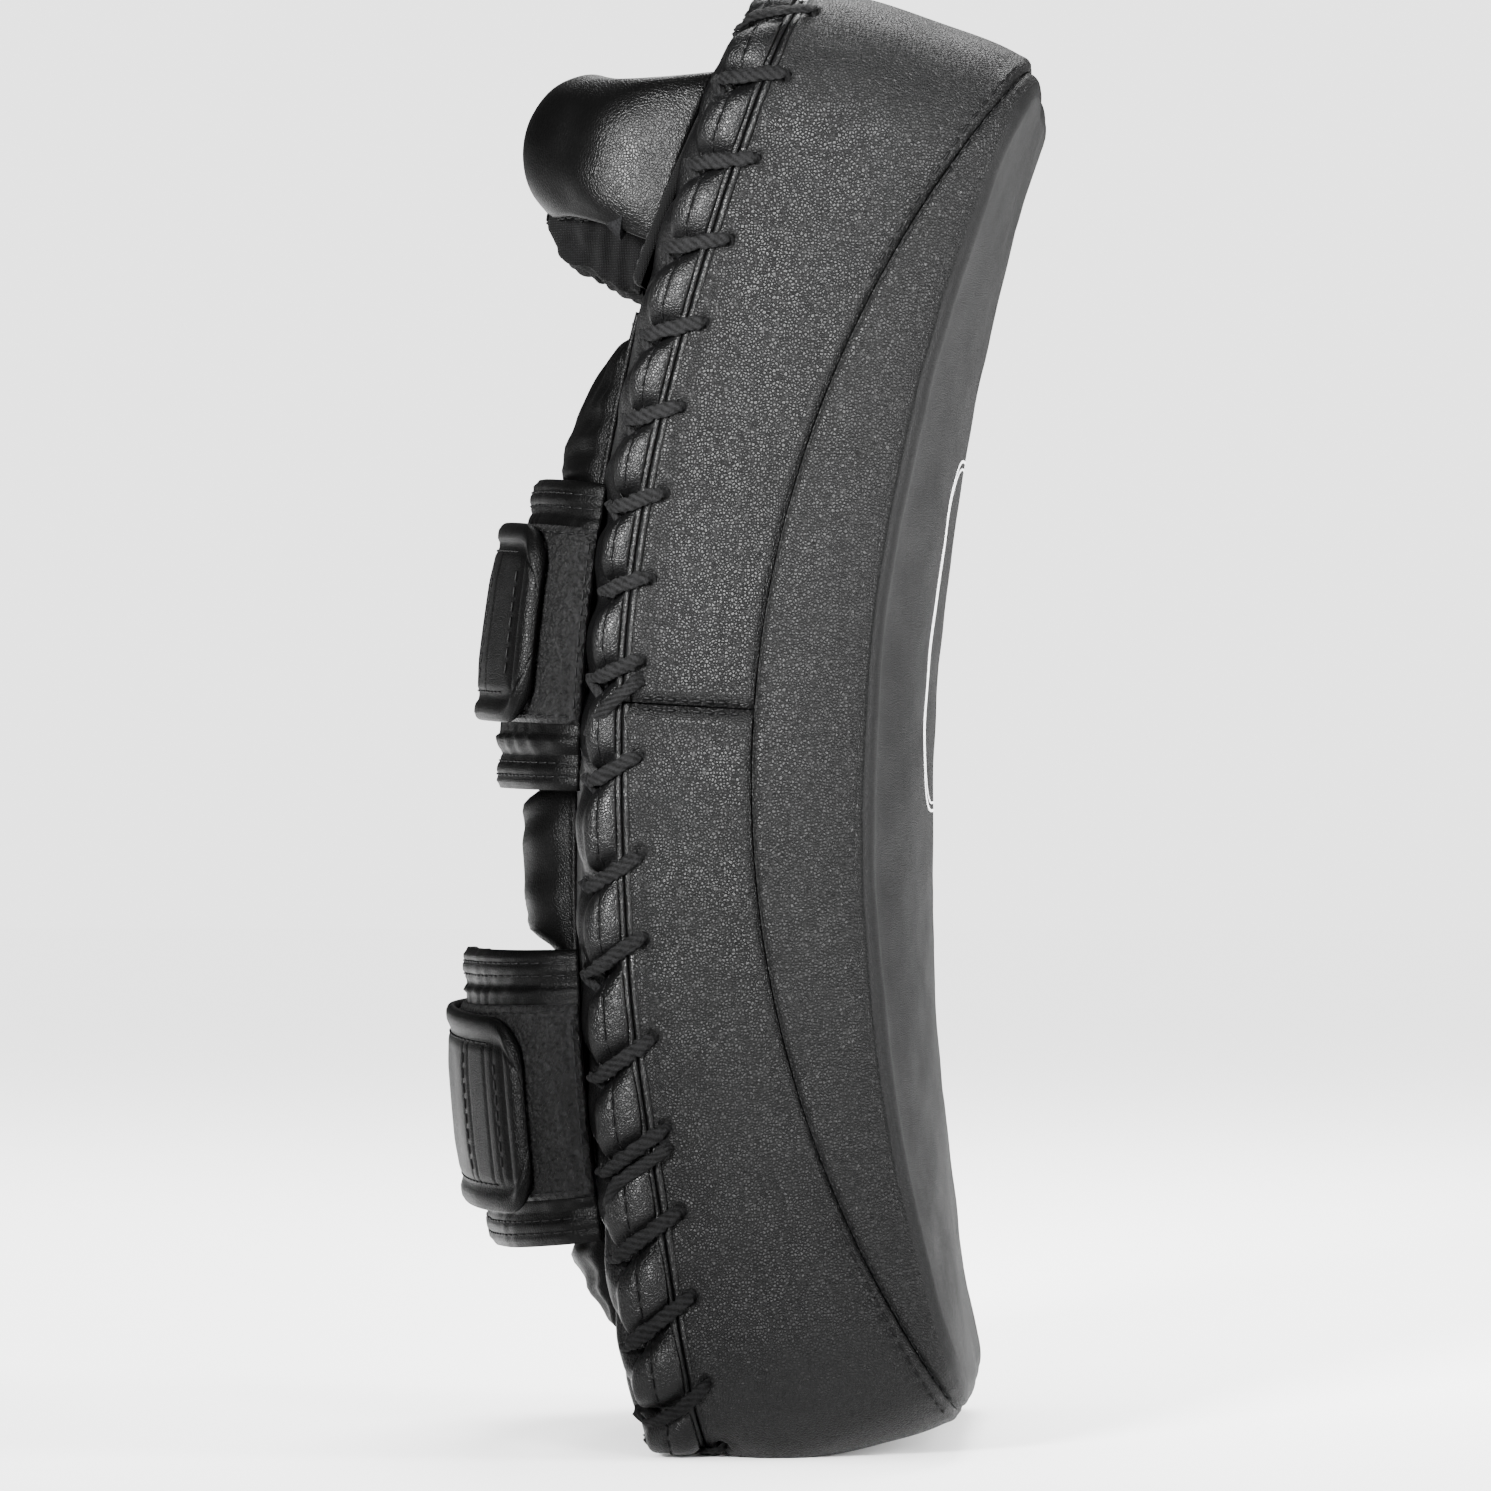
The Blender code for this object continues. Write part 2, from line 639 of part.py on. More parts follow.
def turns(lo, hi):
    """The shared stations of the cuff layers, so that their facets stay parallel."""
    return [math.radians(t) for t in TURNS if lo - 1e-6 <= t <= hi + 1e-6]


def hinge_line(cuff, turn_deg):
    """A short guide on the fold axis of a strap or tab, for the joint's place and direction."""
    y, d = arch(cuff, math.radians(turn_deg), 0.0072, cuff["ts"])
    return place(y, cuff["ts"], d)


def empty_at(name, where):
    empty = bpy.data.objects.new(name, None)
    empty.location = where
    empty.empty_display_size = 0.02
    bpy.context.collection.objects.link(empty)
    return empty


def hang(obj, empty):
    obj.parent = empty
    obj.matrix_parent_inverse = empty.matrix_world.inverted()


def cuff_parts(side, cuff):
    s0, s1 = cuff["s"] - cuff["w"] / 2, cuff["s"] + cuff["w"] / 2
    t0, t1 = cuff["ts"] - cuff["tw"] / 2, cuff["ts"] + cuff["tw"] / 2

    def full(turn):
        return s0, s1

    def strip(turn):
        return t0, t1

    band(f"{side}_band_lining", cuff, turns(19, 100), full, -0.0068, -0.0054, "black_lining")
    band(f"{side}_band_foam", cuff, turns(15, 100), lambda t: (s0 + 0.004, s1 - 0.004),
         -0.0051, -0.0021, "foam")
    band(f"{side}_band_leather", cuff, turns(1.5, 100), full, -0.0018, 0.0, "black_leather")
    band(f"{side}_loop_patch", cuff, turns(11, 93), strip, 0.0003, 0.0018, "hook_and_loop")

    def skewed(turn):
        f = max(0.0, (80.0 - math.degrees(turn)) / 56.0)
        shift = -cuff["skew"] * 0.02 * f
        trim = 0.004 if math.degrees(turn) < TAB_TURN + 0.5 else 0.0
        return t0 + shift + trim, t1 + shift - trim

    def hooks(turn):
        a, b = skewed(turn)
        return a + 0.004, b - 0.004

    hook = band(f"{side}_hook_patch", cuff, turns(30, 76), hooks, 0.0021, 0.0033, "hook_and_loop")
    tab = band(f"{side}_tab", cuff, turns(TAB_TURN, 83.5), skewed, 0.0036, 0.0072, "black_leather")

    def flared(turn):
        f = max(0.0, (math.degrees(turn) - 120.0) / 52.0)
        return t0 - 0.010 * f, t1 + 0.010 * f

    strap = band(f"{side}_strap", cuff, turns(84.5, 171.2), flared, 0.0040, 0.0072, "black_leather")
    strap_empty = empty_at(f"{side}_strap_axis", hinge_line(cuff, ROOT_TURN))
    tab_empty = empty_at(f"{side}_tab_axis", hinge_line(cuff, STRAP_TURN))
    bpy.context.view_layer.update()
    hang(strap, strap_empty)
    hang(tab_empty, strap_empty)
    hang(tab, tab_empty)
    hang(hook, tab_empty)

    # sewn root of the strap: stands on the rear cover at the far edge
    foot_y, foot_d = arch(cuff, math.radians(ROOT_TURN + 0.8), 0.0056, cuff["ts"])
    outer, inner = [], []
    for s in steps(t0 - 0.010, t1 + 0.010, 4):
        base = rear_depth(foot_y, s) + GAP
        dy = 0.0018
        outer.append([place(foot_y + dy, s, foot_d - 0.0010), place(foot_y + dy, s, base),
                      place(foot_y - 0.0130, s, rear_depth(foot_y - 0.0130, s) + GAP)])
        inner.append([place(foot_y - dy, s, foot_d - 0.0014), place(foot_y - dy, s, base + 0.0020),
                      place(foot_y - 0.0130, s, rear_depth(foot_y - 0.0130, s) + GAP + 0.0020)])
    sheet(f"{side}_strap_root", outer, inner, "black_leather")


shell()
lace()
arm_pad()
handle()
for label, values in CUFFS.items():
    cuff_parts(label, values)
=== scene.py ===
"""Looks of the thai pad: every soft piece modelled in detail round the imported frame.

Pad coordinates are the CAD's: y across the width, s along the length, d from the strike face to
the back. p is the distance round the pad's outline, from the middle of the -Y side upwards.
All lengths are metres.
"""

import functools
import math

import bpy
import numpy as np
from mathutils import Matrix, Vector


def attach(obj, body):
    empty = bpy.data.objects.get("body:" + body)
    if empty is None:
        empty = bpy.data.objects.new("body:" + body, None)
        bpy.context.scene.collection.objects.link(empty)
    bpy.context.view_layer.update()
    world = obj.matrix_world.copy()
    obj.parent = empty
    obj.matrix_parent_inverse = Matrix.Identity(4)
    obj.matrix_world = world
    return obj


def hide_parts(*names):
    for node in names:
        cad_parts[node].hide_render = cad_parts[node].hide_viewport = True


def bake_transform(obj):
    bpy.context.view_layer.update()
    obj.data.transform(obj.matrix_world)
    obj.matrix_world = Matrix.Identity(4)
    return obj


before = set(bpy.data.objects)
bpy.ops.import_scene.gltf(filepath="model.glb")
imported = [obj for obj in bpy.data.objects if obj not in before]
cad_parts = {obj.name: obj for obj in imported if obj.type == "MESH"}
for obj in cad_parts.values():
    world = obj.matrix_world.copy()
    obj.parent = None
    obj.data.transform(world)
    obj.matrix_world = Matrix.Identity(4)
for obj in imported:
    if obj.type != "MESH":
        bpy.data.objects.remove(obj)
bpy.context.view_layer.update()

TAU = 2 * math.pi

# ------------------------------------------------------------------ the CAD's driving sizes
BEND_R, MID_R, LEAN = 0.655, 0.690, math.radians(3.0)
CENTRE_X, CENTRE_Z = 0.70839, 0.16100
HALF_W, HALF_L, CORNER = 0.0985, 0.1900, 0.030
SIDE_BULGE, END_BULGE = 0.0045, 0.0070
EDGE_R, EDGE_DROP, END_DROP = 0.007, 0.0125, 0.0028
SEAM_END, SEAM_MID = 0.0065, 0.0460
HEM_TOP, HEM_MID, HEM_LOW = 0.0695, 0.0760, 0.0765
LACE_GAP, RIM, RIM_TAPER = 0.0032, 0.0125, 0.0055
PITCH_COUNT, LACE_PHASE, MID_SEAM = 50, 0.0102, 0.0048
REAR_DOME, HEM_LIFT = 0.006, 0.0026
ARM_W, ARM_LO, ARM_HI = 0.044, -0.156, 0.098
ROLL_S, ROLL_R_END, ROLL_R_MID = 0.1410, 0.0170, 0.0140
BASE_LO, BASE_HI, BASE_Y, BASE_FOOT = 0.1105, 0.1690, 0.080, 0.0952
CUFF_A = 0.086
CUFFS = {
    "upper": {"s": 0.0205, "w": 0.077, "h": 0.0277, "tilt": 0.05, "ts": 0.0230,
              "tw": 0.049, "skew": 0.02},
    "lower": {"s": -0.0940, "w": 0.073, "h": 0.0385, "tilt": 0.0, "ts": -0.0950,
              "tw": 0.048, "skew": 0.16},
}


# ------------------------------------------------------------------ pad coordinates
def smooth(x):
    x = np.clip(x, 0.0, 1.0)
    return x * x * (3 - 2 * x)


def bump(x, width):
    return np.exp(-(x / width) ** 2)


def quarter(x, radius, least=0.0):
    """Height (0 to 1) of a quarter circle that rises over the first radius of x."""
    return np.sqrt(np.clip(1 - np.clip(1 - x / radius, 0, 1) ** 2, least, 1))


def nearest(*gaps):
    """Distance to the nearest of several borders."""
    return functools.reduce(np.minimum, gaps)


def place(y, s, d, inset=0.0):
    """Pad coordinates to world, resting softly on the plane z = inset."""
    y, s, d = np.broadcast_arrays(np.asarray(y, float), s, d)
    phi = s / MID_R + LEAN
    r = BEND_R + d
    z = CENTRE_Z + r * np.sin(phi)
    t, w = z - inset, 0.0012
    z = inset + np.where(t < -w, 0.0, np.where(t > w, t, (t + w) ** 2 / (4 * w)))
    return np.stack([CENTRE_X - r * np.cos(phi), y, z], -1)


def share(s):
    return 1.0 - np.clip(s / HALF_L, -1, 1) ** 2


def seam_depth(s):
    return SEAM_END + (SEAM_MID - SEAM_END) * share(s)


def hem_depth(s):
    end = np.where(s > 0, HEM_TOP, HEM_LOW)
    return end + (HEM_MID - end) * share(s)


def near_end(s):
    """0 along the pad's middle, 1 near its two ends."""
    return smooth((np.abs(s) - 0.11) / 0.05)


def drop(s):
    return END_DROP + (EDGE_DROP - END_DROP) * share(s)


def face_depth(y, s):
    across = np.minimum(1.0, np.abs(y) / (HALF_W - EDGE_R)) ** 2.2
    return drop(s) * across + END_DROP * np.minimum(1.0, np.abs(s) / HALF_L) ** 4 * (1 - across)


def rear_depth(y, s):
    dome = (1 - np.minimum(1.0, np.abs(y) / 0.092) ** 2) * (1 - np.minimum(1.0, np.abs(s) / 0.180) ** 4)
    return hem_depth(s) + LACE_GAP + RIM + REAR_DOME * dome


def lift_floor(d, s):
    return HEM_LIFT * smooth((d - hem_depth(s) + 0.0070) / 0.0018)


STRAIGHT_W, STRAIGHT_L, ARC = HALF_W - CORNER, HALF_L - CORNER, CORNER * math.pi / 2
PERIMETER = 4 * (STRAIGHT_W + STRAIGHT_L + ARC)


def outline_table(n=12000):
    """Points and normals round the plan outline, as a dense table over p."""
    p = np.linspace(0, PERIMETER, n + 1)
    out = np.zeros((n + 1, 4))
    legs = ((STRAIGHT_L, "side", -1, 0), (ARC, "turn", -1, 1), (2 * STRAIGHT_W, "end", 0, 1),
            (ARC, "turn", 1, 1), (2 * STRAIGHT_L, "side", 1, 0), (ARC, "turn", 1, -1),
            (2 * STRAIGHT_W, "end", 0, -1), (ARC, "turn", -1, -1), (STRAIGHT_L, "side", -1, 0))
    start = 0.0
    for k, (length, kind, a, b) in enumerate(legs):
        here = (p >= start - 1e-12) & (p <= start + length + 1e-9)
        q = p[here] - start
        one = np.ones_like(q)
        if kind == "side":
            s = (q if k == 0 else q - STRAIGHT_L) if a < 0 else STRAIGHT_L - q
            out[here] = np.stack([a * HALF_W * one, s, a * one, 0 * one], -1)
        elif kind == "end":
            y = -STRAIGHT_W + q if b > 0 else STRAIGHT_W - q
            out[here] = np.stack([y, b * HALF_L * one, 0 * one, b * one], -1)
        else:
            t = q / CORNER
            ny, ns = (a * np.cos(t), b * np.sin(t)) if a * b < 0 else (a * np.sin(t), b * np.cos(t))
            out[here] = np.stack([a * STRAIGHT_W + CORNER * ny, b * STRAIGHT_L + CORNER * ns, ny, ns], -1)
        start += length
    return p, out


TABLE_P, TABLE = outline_table()


def outline(p):
    p = np.asarray(p, float) % PERIMETER
    return tuple(np.interp(p, TABLE_P, TABLE[:, n]) for n in range(4))


def bulge(ns, d):
    amount = SIDE_BULGE + (END_BULGE - SIDE_BULGE) * ns * ns
    x = np.minimum(np.abs(d - 0.036) / 0.036, 1.0)
    return amount * (1.0 - x ** (2 + 2 * ns * ns))


def side_point(p, d, off=0.0, inset=0.0):
    y, s, ny, ns = outline(p)
    b = bulge(ns, d) + off
    rim = (d - hem_depth(s) - LACE_GAP) / RIM
    b = b - RIM_TAPER * np.clip(rim, 0.0, 1.0) ** 1.5
    return place(y + ny * b, s + ns * b, d, inset + lift_floor(d, s))


def hem_line(s):
    """Depth of the visible hem's edge, a few millimetres off the CAD's plain one."""
    return hem_depth(s) + 0.0038 * bump(s - 0.03, 0.075) - 0.0028 * smooth((-s - 0.06) / 0.08)


def stations():
    """Where the lace passes the side leather's hem and the rear rim."""
    p = LACE_PHASE - np.arange(PITCH_COUNT) * PERIMETER / PITCH_COUNT
    y, s = outline(p)[:2]
    p = p - y / HALF_W * (0.0045 * smooth((s + 0.055) / 0.06) - 0.0030 * smooth((-0.06 - s) / 0.03))
    return p, p - slant(outline(p)[1])


def slant(s):
    """How far the lace leans back along the outline between the hem and the rim."""
    return 0.0085 - 0.018 * s - 0.0028 * bump(s - 0.03, 0.05)


HEM_P, RIM_P = stations()


def around(p, centres):
    """Share of the way (0 to 1) from one centre to the next, and the distance to the nearest."""
    c = np.sort(np.asarray(centres) % PERIMETER)
    c = np.concatenate([[c[-1] - PERIMETER], c, [c[0] + PERIMETER]])
    q = np.asarray(p) % PERIMETER
    k = np.clip(np.searchsorted(c, q, side="right") - 1, 0, len(c) - 2)
    gap = c[k + 1] - c[k]
    x = (q - c[k]) / gap
    return x, np.minimum(x, 1 - x) * gap


# ------------------------------------------------------------------ relief
def spans(*parts):
    """Numbers over several stretches, each given as (first, last, count)."""
    return np.concatenate([np.linspace(*part) for part in parts])


def unit(v):
    return v / np.maximum(np.linalg.norm(v, axis=-1, keepdims=True), 1e-12)


def travelled(line):
    """Distance along a line of points, from its first."""
    return np.concatenate([[0], np.cumsum(np.linalg.norm(np.diff(line, axis=0), axis=-1))])


def ripple(pts, seed, wave, stretch=(1, 1, 1), n=10):
    """Smooth seeded noise over world points, about -1 to 1."""
    rng = np.random.default_rng(seed)
    total = np.zeros(pts.shape[:-1])
    for _ in range(n):
        way = rng.normal(size=3)
        way /= np.linalg.norm(way)
        k = TAU / wave * rng.uniform(0.6, 1.5)
        total += np.sin(pts @ (way * k * np.array(stretch)) + rng.uniform(0, TAU))
    return total / math.sqrt(n)


def normals(grid, closed=False):
    """Unit normals of a grid of points, from its own tangents; their side isn't settled."""
    if closed:
        du = np.roll(grid, -1, 0) - np.roll(grid, 1, 0)
    else:
        du = np.gradient(grid, axis=0)
    dv = np.gradient(grid, axis=1)
    return unit(np.cross(du, dv))


BEHIND = (0.4, 0, 0.2)      # a point on the strike side, so that rear pieces face away from it


def outward(grid, inside, closed=False):
    """Unit normals of a grid that on the whole point away from the inside point."""
    n = normals(grid, closed)
    return n if np.sum((grid - np.asarray(inside)) * n) > 0 else -n


# ------------------------------------------------------------------ mesh building
def flat_map(us, vs):
    """Texture coordinates in metres for a grid, from the distances along its two ways."""
    return np.stack(np.meshgrid(us, vs, indexing="ij"), -1).reshape(-1, 2)


class Builder:
    """Collects closed shells, tubes and stitches into one mesh."""

    def __init__(self):
        self.verts, self.faces, self.mats, self.uvs, self.count = [], [], [], [], 0
        self.slots = []

    def slot(self, mat):
        if mat not in self.slots:
            self.slots.append(mat)
        return self.slots.index(mat)

    def add(self, verts, faces, mat, uv):
        """verts (n, 3); faces (m, 4) or (m, 3) of indices; uv (n, 2)."""
        m = self.slot(mat)
        self.verts.append(verts)
        self.uvs.append(uv)
        for part in faces:
            if len(part):
                self.faces.append(np.asarray(part) + self.count)
                self.mats.append(np.full(len(part), m))
        self.count += len(verts)

    def shell(self, outer, normal, thick, mat, closed=False, cap=False, split=None):
        """A closed sheet: the outer grid and an inner one thick below it, joined at the borders.

        split=(column, material) gives the outer face another material from that column on.
        """
        ni, nj = outer.shape[:2]
        inner = outer - normal * thick
        uv = flat_map(travelled(outer[:, nj // 2]), travelled(outer[0]))
        base = ni * nj
        i = np.arange(ni if closed else ni - 1)
        j = np.arange(nj - 1)
        a, b = [g.ravel() for g in np.meshgrid(i, j, indexing="ij")]
        a2 = (a + 1) % ni

        def at(x, y, side=0):
            return side * base + x * nj + y

        def border(x, y, x2, y2):
            return np.stack([at(x, y), at(x2, y2), at(x2, y2, 1), at(x, y, 1)], -1)

        top = np.stack([at(a, b), at(a2, b), at(a2, b + 1), at(a, b + 1)], -1)
        i2 = (i + 1) % ni
        quads = [top, top[:, ::-1] + base, border(i, nj - 1, i2, nj - 1)]
        tris = []
        verts = np.concatenate([outer.reshape(-1, 3), inner.reshape(-1, 3)])
        uv = np.concatenate([uv, uv])
        if cap:
            hubs = np.stack([outer[:, 0].mean(0), inner[:, 0].mean(0)])
            verts = np.concatenate([verts, hubs])
            uv = np.concatenate([uv, np.zeros((2, 2))])
            hub = np.full(len(i), 2 * base)
            tris = [np.stack([at(i2, 0), at(i, 0), hub], -1),
                    np.stack([at(i, 0, 1), at(i2, 0, 1), hub + 1], -1)]
        else:
            quads.append(border(i2, 0, i, 0))
        if not closed:
            quads += [border(0, j, 0, j + 1), border(ni - 1, j + 1, ni - 1, j)]
        flip = np.sum(np.cross(outer[1:, :-1] - outer[:-1, :-1], outer[:-1, 1:] - outer[:-1, :-1])
                      * normal[:-1, :-1]) < 0
        if flip:
            quads = [q[:, ::-1] for q in quads]
            tris = [t[:, ::-1] for t in tris]
        self.add(verts, quads + tris, mat, uv)
        if split:
            self.mats[-len(quads) - (2 if cap else 0)][b >= split[0]] = self.slot(split[1])

    def tube(self, rings, mat):
        """A closed tube through equal rings (k, n, 3)."""
        k, n = rings.shape[:2]
        i, j = [g.ravel() for g in np.meshgrid(np.arange(k - 1), np.arange(n), indexing="ij")]
        j2 = (j + 1) % n
        quads = np.stack([i * n + j, i * n + j2, (i + 1) * n + j2, (i + 1) * n + j], -1)
        centre = rings.mean(1)
        a = rings[1:-1, 0] - centre[1:-1]
        b = rings[1:-1, 1] - centre[1:-1]
        turn = np.sum(np.cross(a, b) * (centre[2:] - centre[:-2]))
        uv = flat_map(travelled(centre), travelled(rings[k // 2]))
        verts = np.concatenate([rings.reshape(-1, 3), centre[:1], centre[-1:]])
        uv = np.concatenate([uv, np.zeros((2, 2))])
        j = np.arange(n)
        j2 = (j + 1) % n
        hub = np.full(n, k * n)
        parts = [quads, np.stack([j2, j, hub], -1),
                 np.stack([(k - 1) * n + j, (k - 1) * n + j2, hub + 1], -1)]
        if turn < 0:
            parts = [q[:, ::-1] for q in parts]
        self.add(verts, parts, mat, uv)

    def stitches(self, line, up, pitch=0.0042, length=0.0031, width=0.00062, rise=0.0002):
        """A row of thread stitches along a line of points, lying on a surface with normals up."""
        dist = travelled(line)
        count = int((dist[-1] - length) / pitch)
        if count < 1:
            return
        mid = (dist[-1] - (count - 1) * pitch) / 2 + np.arange(count) * pitch
        xs = np.array([-0.5, -0.42, -0.2, 0.2, 0.42, 0.5])
        rs = np.array([0.25, 0.8, 1.0, 1.0, 0.8, 0.25])
        ang = np.arange(6) * math.pi / 3
        t = mid[:, None] + xs * length
        pos = np.stack([np.interp(t, dist, line[:, n]) for n in range(3)], -1)
        nrm = np.stack([np.interp(t, dist, up[:, n]) for n in range(3)], -1)
        nrm = unit(nrm)
        side = unit(np.cross(unit(pos[:, -1:] - pos[:, :1]), nrm))
        sink = np.where(np.abs(xs) > 0.45, -0.4 * width, rise)[None, :, None]
        radius = (rs * width / 2)[None, :, None, None]
        ring = (pos + nrm * sink)[:, :, None, :] \
            + side[:, :, None, :] * np.cos(ang)[:, None] * radius \
            + nrm[:, :, None, :] * np.sin(ang)[:, None] * radius
        for one in ring:
            self.tube(one, "thread")

    def edge_stitches(self, grid, n, row, col, trim, **look):
        """Stitches along all four edges: rows and columns counted in from them, columns trimmed."""
        for at in (row, -1 - row):
            self.stitches(grid[at], n[at], **look)
        for at in (col, -1 - col):
            self.stitches(grid[trim:-trim, at], n[trim:-trim, at], **look)

    def build(self, name):
        mesh = bpy.data.meshes.new(name)
        verts = np.concatenate(self.verts)
        uvs = np.concatenate(self.uvs)
        flat = [tuple(q) for part in self.faces for q in part.tolist()]
        mesh.from_pydata(verts.tolist(), [], flat)
        mesh.polygons.foreach_set("material_index", np.concatenate(self.mats).astype(np.int32))
        mesh.polygons.foreach_set("use_smooth", np.full(len(flat), True))
        layer = mesh.uv_layers.new(name="UVMap")
        index = np.zeros(len(mesh.loops), np.int32)
        mesh.loops.foreach_get("vertex_index", index)
        layer.data.foreach_set("uv", uvs[index].ravel())
        for mat in self.slots:
            mesh.materials.append(MATERIALS[mat])
        mesh.update()
        obj = bpy.data.objects.new(name, mesh)
        bpy.context.collection.objects.link(obj)
        return obj

    def piece(self, name, body, nodes):
        """Builds the object, puts it on its body and hides the CAD nodes that it stands for."""
        obj = self.build(name)
        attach(obj, body)
        if nodes:
            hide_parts(*nodes)


# ------------------------------------------------------------------ materials
class Graph:
    """Small helper for shader node trees."""

    def __init__(self, name, colour, rough, **shader):
        self.mat = bpy.data.materials.new(name)
        self.mat.use_nodes = True
        self.tree = self.mat.node_tree
        self.bsdf = self.tree.nodes["Principled BSDF"]
        self.bsdf.inputs["Base Color"].default_value = (*colour, 1)
        self.bsdf.inputs["Roughness"].default_value = rough
        for key, value in shader.items():
            self.bsdf.inputs[key.replace("_", " ")].default_value = value
        self.coords = self.node("ShaderNodeTexCoord")

    def node(self, kind, **settings):
        node = self.tree.nodes.new(kind)
        for key, value in settings.items():
            setattr(node, key, value)
        return node

    def link(self, a, b):
        self.tree.links.new(a, b)

    def space(self, scale=(1, 1, 1), uv=False, turn=(0, 0, 0)):
        node = self.node("ShaderNodeMapping")
        node.inputs["Scale"].default_value = scale
        node.inputs["Rotation"].default_value = turn
        self.link(self.coords.outputs["UV" if uv else "Object"], node.inputs["Vector"])
        return node.outputs[0]

    def noise(self, vector, scale, detail=3.0, rough=0.55):
        node = self.node("ShaderNodeTexNoise")
        node.inputs["Scale"].default_value = scale
        node.inputs["Detail"].default_value = detail
        node.inputs["Roughness"].default_value = rough
        self.link(vector, node.inputs["Vector"])
        return node.outputs["Fac"]

    def cells(self, vector, scale, feature="DISTANCE_TO_EDGE", random=1.0):
        node = self.node("ShaderNodeTexVoronoi", feature=feature)
        node.inputs["Scale"].default_value = scale
        node.inputs["Randomness"].default_value = random
        self.link(vector, node.inputs["Vector"])
        return node.outputs["Distance"]

    def remap(self, value, lo, hi, to_lo, to_hi):
        node = self.node("ShaderNodeMapRange")
        for key, number in zip(("From Min", "From Max", "To Min", "To Max"), (lo, hi, to_lo, to_hi)):
            node.inputs[key].default_value = number
        self.link(value, node.inputs["Value"])
        return node.outputs["Result"]

    def maths(self, operation, a, b):
        node = self.node("ShaderNodeMath", operation=operation)
        for n, value in enumerate((a, b)):
            if isinstance(value, (int, float)):
                node.inputs[n].default_value = value
            else:
                self.link(value, node.inputs[n])
        return node.outputs[0]

    def tint(self, factor, one, two):
        node = self.node("ShaderNodeMix", data_type="RGBA")
        node.inputs["A"].default_value = (*one, 1)
        node.inputs["B"].default_value = (*two, 1)
        self.link(factor, node.inputs["Factor"])
        self.link(node.outputs["Result"], self.bsdf.inputs["Base Color"])

    def rough(self, value):
        self.link(value, self.bsdf.inputs["Roughness"])

    def relief(self, *layers):
        """layers: (height 0 to 1, depth in metres), stacked."""
        last = None
        for height, depth in layers:
            node = self.node("ShaderNodeBump")
            node.inputs["Strength"].default_value = 1.0
            node.inputs["Distance"].default_value = depth
            self.link(height, node.inputs["Height"])
            if last:
                self.link(last, node.inputs["Normal"])
            last = node.outputs["Normal"]
        self.link(last, self.bsdf.inputs["Normal"])


def grey(value, blue=0.0):
    return value, value, value + blue


def leather(name, colour, bright, rough, grain, depth, crease=0.00025, streak=0.0, gloss=0.4):
    """Grained leather: rounded pebbles, finer pores, soft creases and cloudy wear."""
    g = Graph(name, colour, rough, Specular_IOR_Level=gloss)
    space = g.space()
    pebble = g.remap(g.cells(space, 1 / grain), 0.0, 0.22, 0.0, 1.0)
    pore = g.noise(space, 1.6 / grain, 2.0)
    soft = g.noise(space, 55.0, 4.0)
    cloud = g.noise(space, 9.0, 3.0)
    g.relief((soft, crease), (pore, depth * 0.7), (pebble, depth))
    wear = g.maths("MULTIPLY", g.remap(cloud, 0.3, 0.75, 0.15, 1.0), g.remap(pebble, 0.0, 1.0, 0.10, 1.0))
    if streak:
        lines = g.noise(g.space((260, 260, 9)), 1.0, 4.0, 0.7)
        wear = g.maths("ADD", wear, g.remap(lines, 0.35, 0.8, 0.0, streak))
    g.tint(wear, colour, bright)
    g.rough(g.maths("ADD", g.remap(soft, 0.2, 0.8, rough - 0.05, rough + 0.06),
                    g.remap(pebble, 0.0, 1.0, 0.10, 0.0)))
    return g.mat


def braid(name, colour, bright):
    g = Graph(name, colour, 0.7, Specular_IOR_Level=0.04, Sheen_Weight=0.004, Sheen_Roughness=0.4)
    twill = g.node("ShaderNodeTexWave", wave_type="BANDS", bands_direction="DIAGONAL")
    twill.inputs["Scale"].default_value = 260.0
    twill.inputs["Distortion"].default_value = 1.5
    g.link(g.space((1.0, 1.6, 1), uv=True), twill.inputs["Vector"])
    strands = twill.outputs["Fac"]
    lint = g.noise(g.space(), 1500.0, 3.0)
    tufts = g.noise(g.space(), 620.0, 4.0, 0.7)
    g.relief((lint, 0.00035), (tufts, 0.0006), (strands, 0.00005))
    mixed = g.maths("ADD", strands, g.maths("MULTIPLY", tufts, 3.0))
    g.tint(g.remap(mixed, 1.3, 2.4, 0.0, 1.0), colour, bright)
    return g.mat


def fuzz(name, colour, bright, scale=1500.0, depth=0.0006):
    """Loop pile: tangled short fibres."""
    g = Graph(name, colour, 0.36, Specular_IOR_Level=0.06, Sheen_Weight=0.004, Sheen_Roughness=0.5)
    fibre = g.noise(g.space((1.0, 1.0, 0.6)), scale, 5.0, 0.75)
    tuft = g.cells(g.space(), scale * 0.55, "F1")
    g.relief((tuft, depth), (fibre, depth * 0.8))
    g.tint(g.remap(fibre, 0.50, 0.64, 0.0, 1.0), colour, bright)
    return g.mat


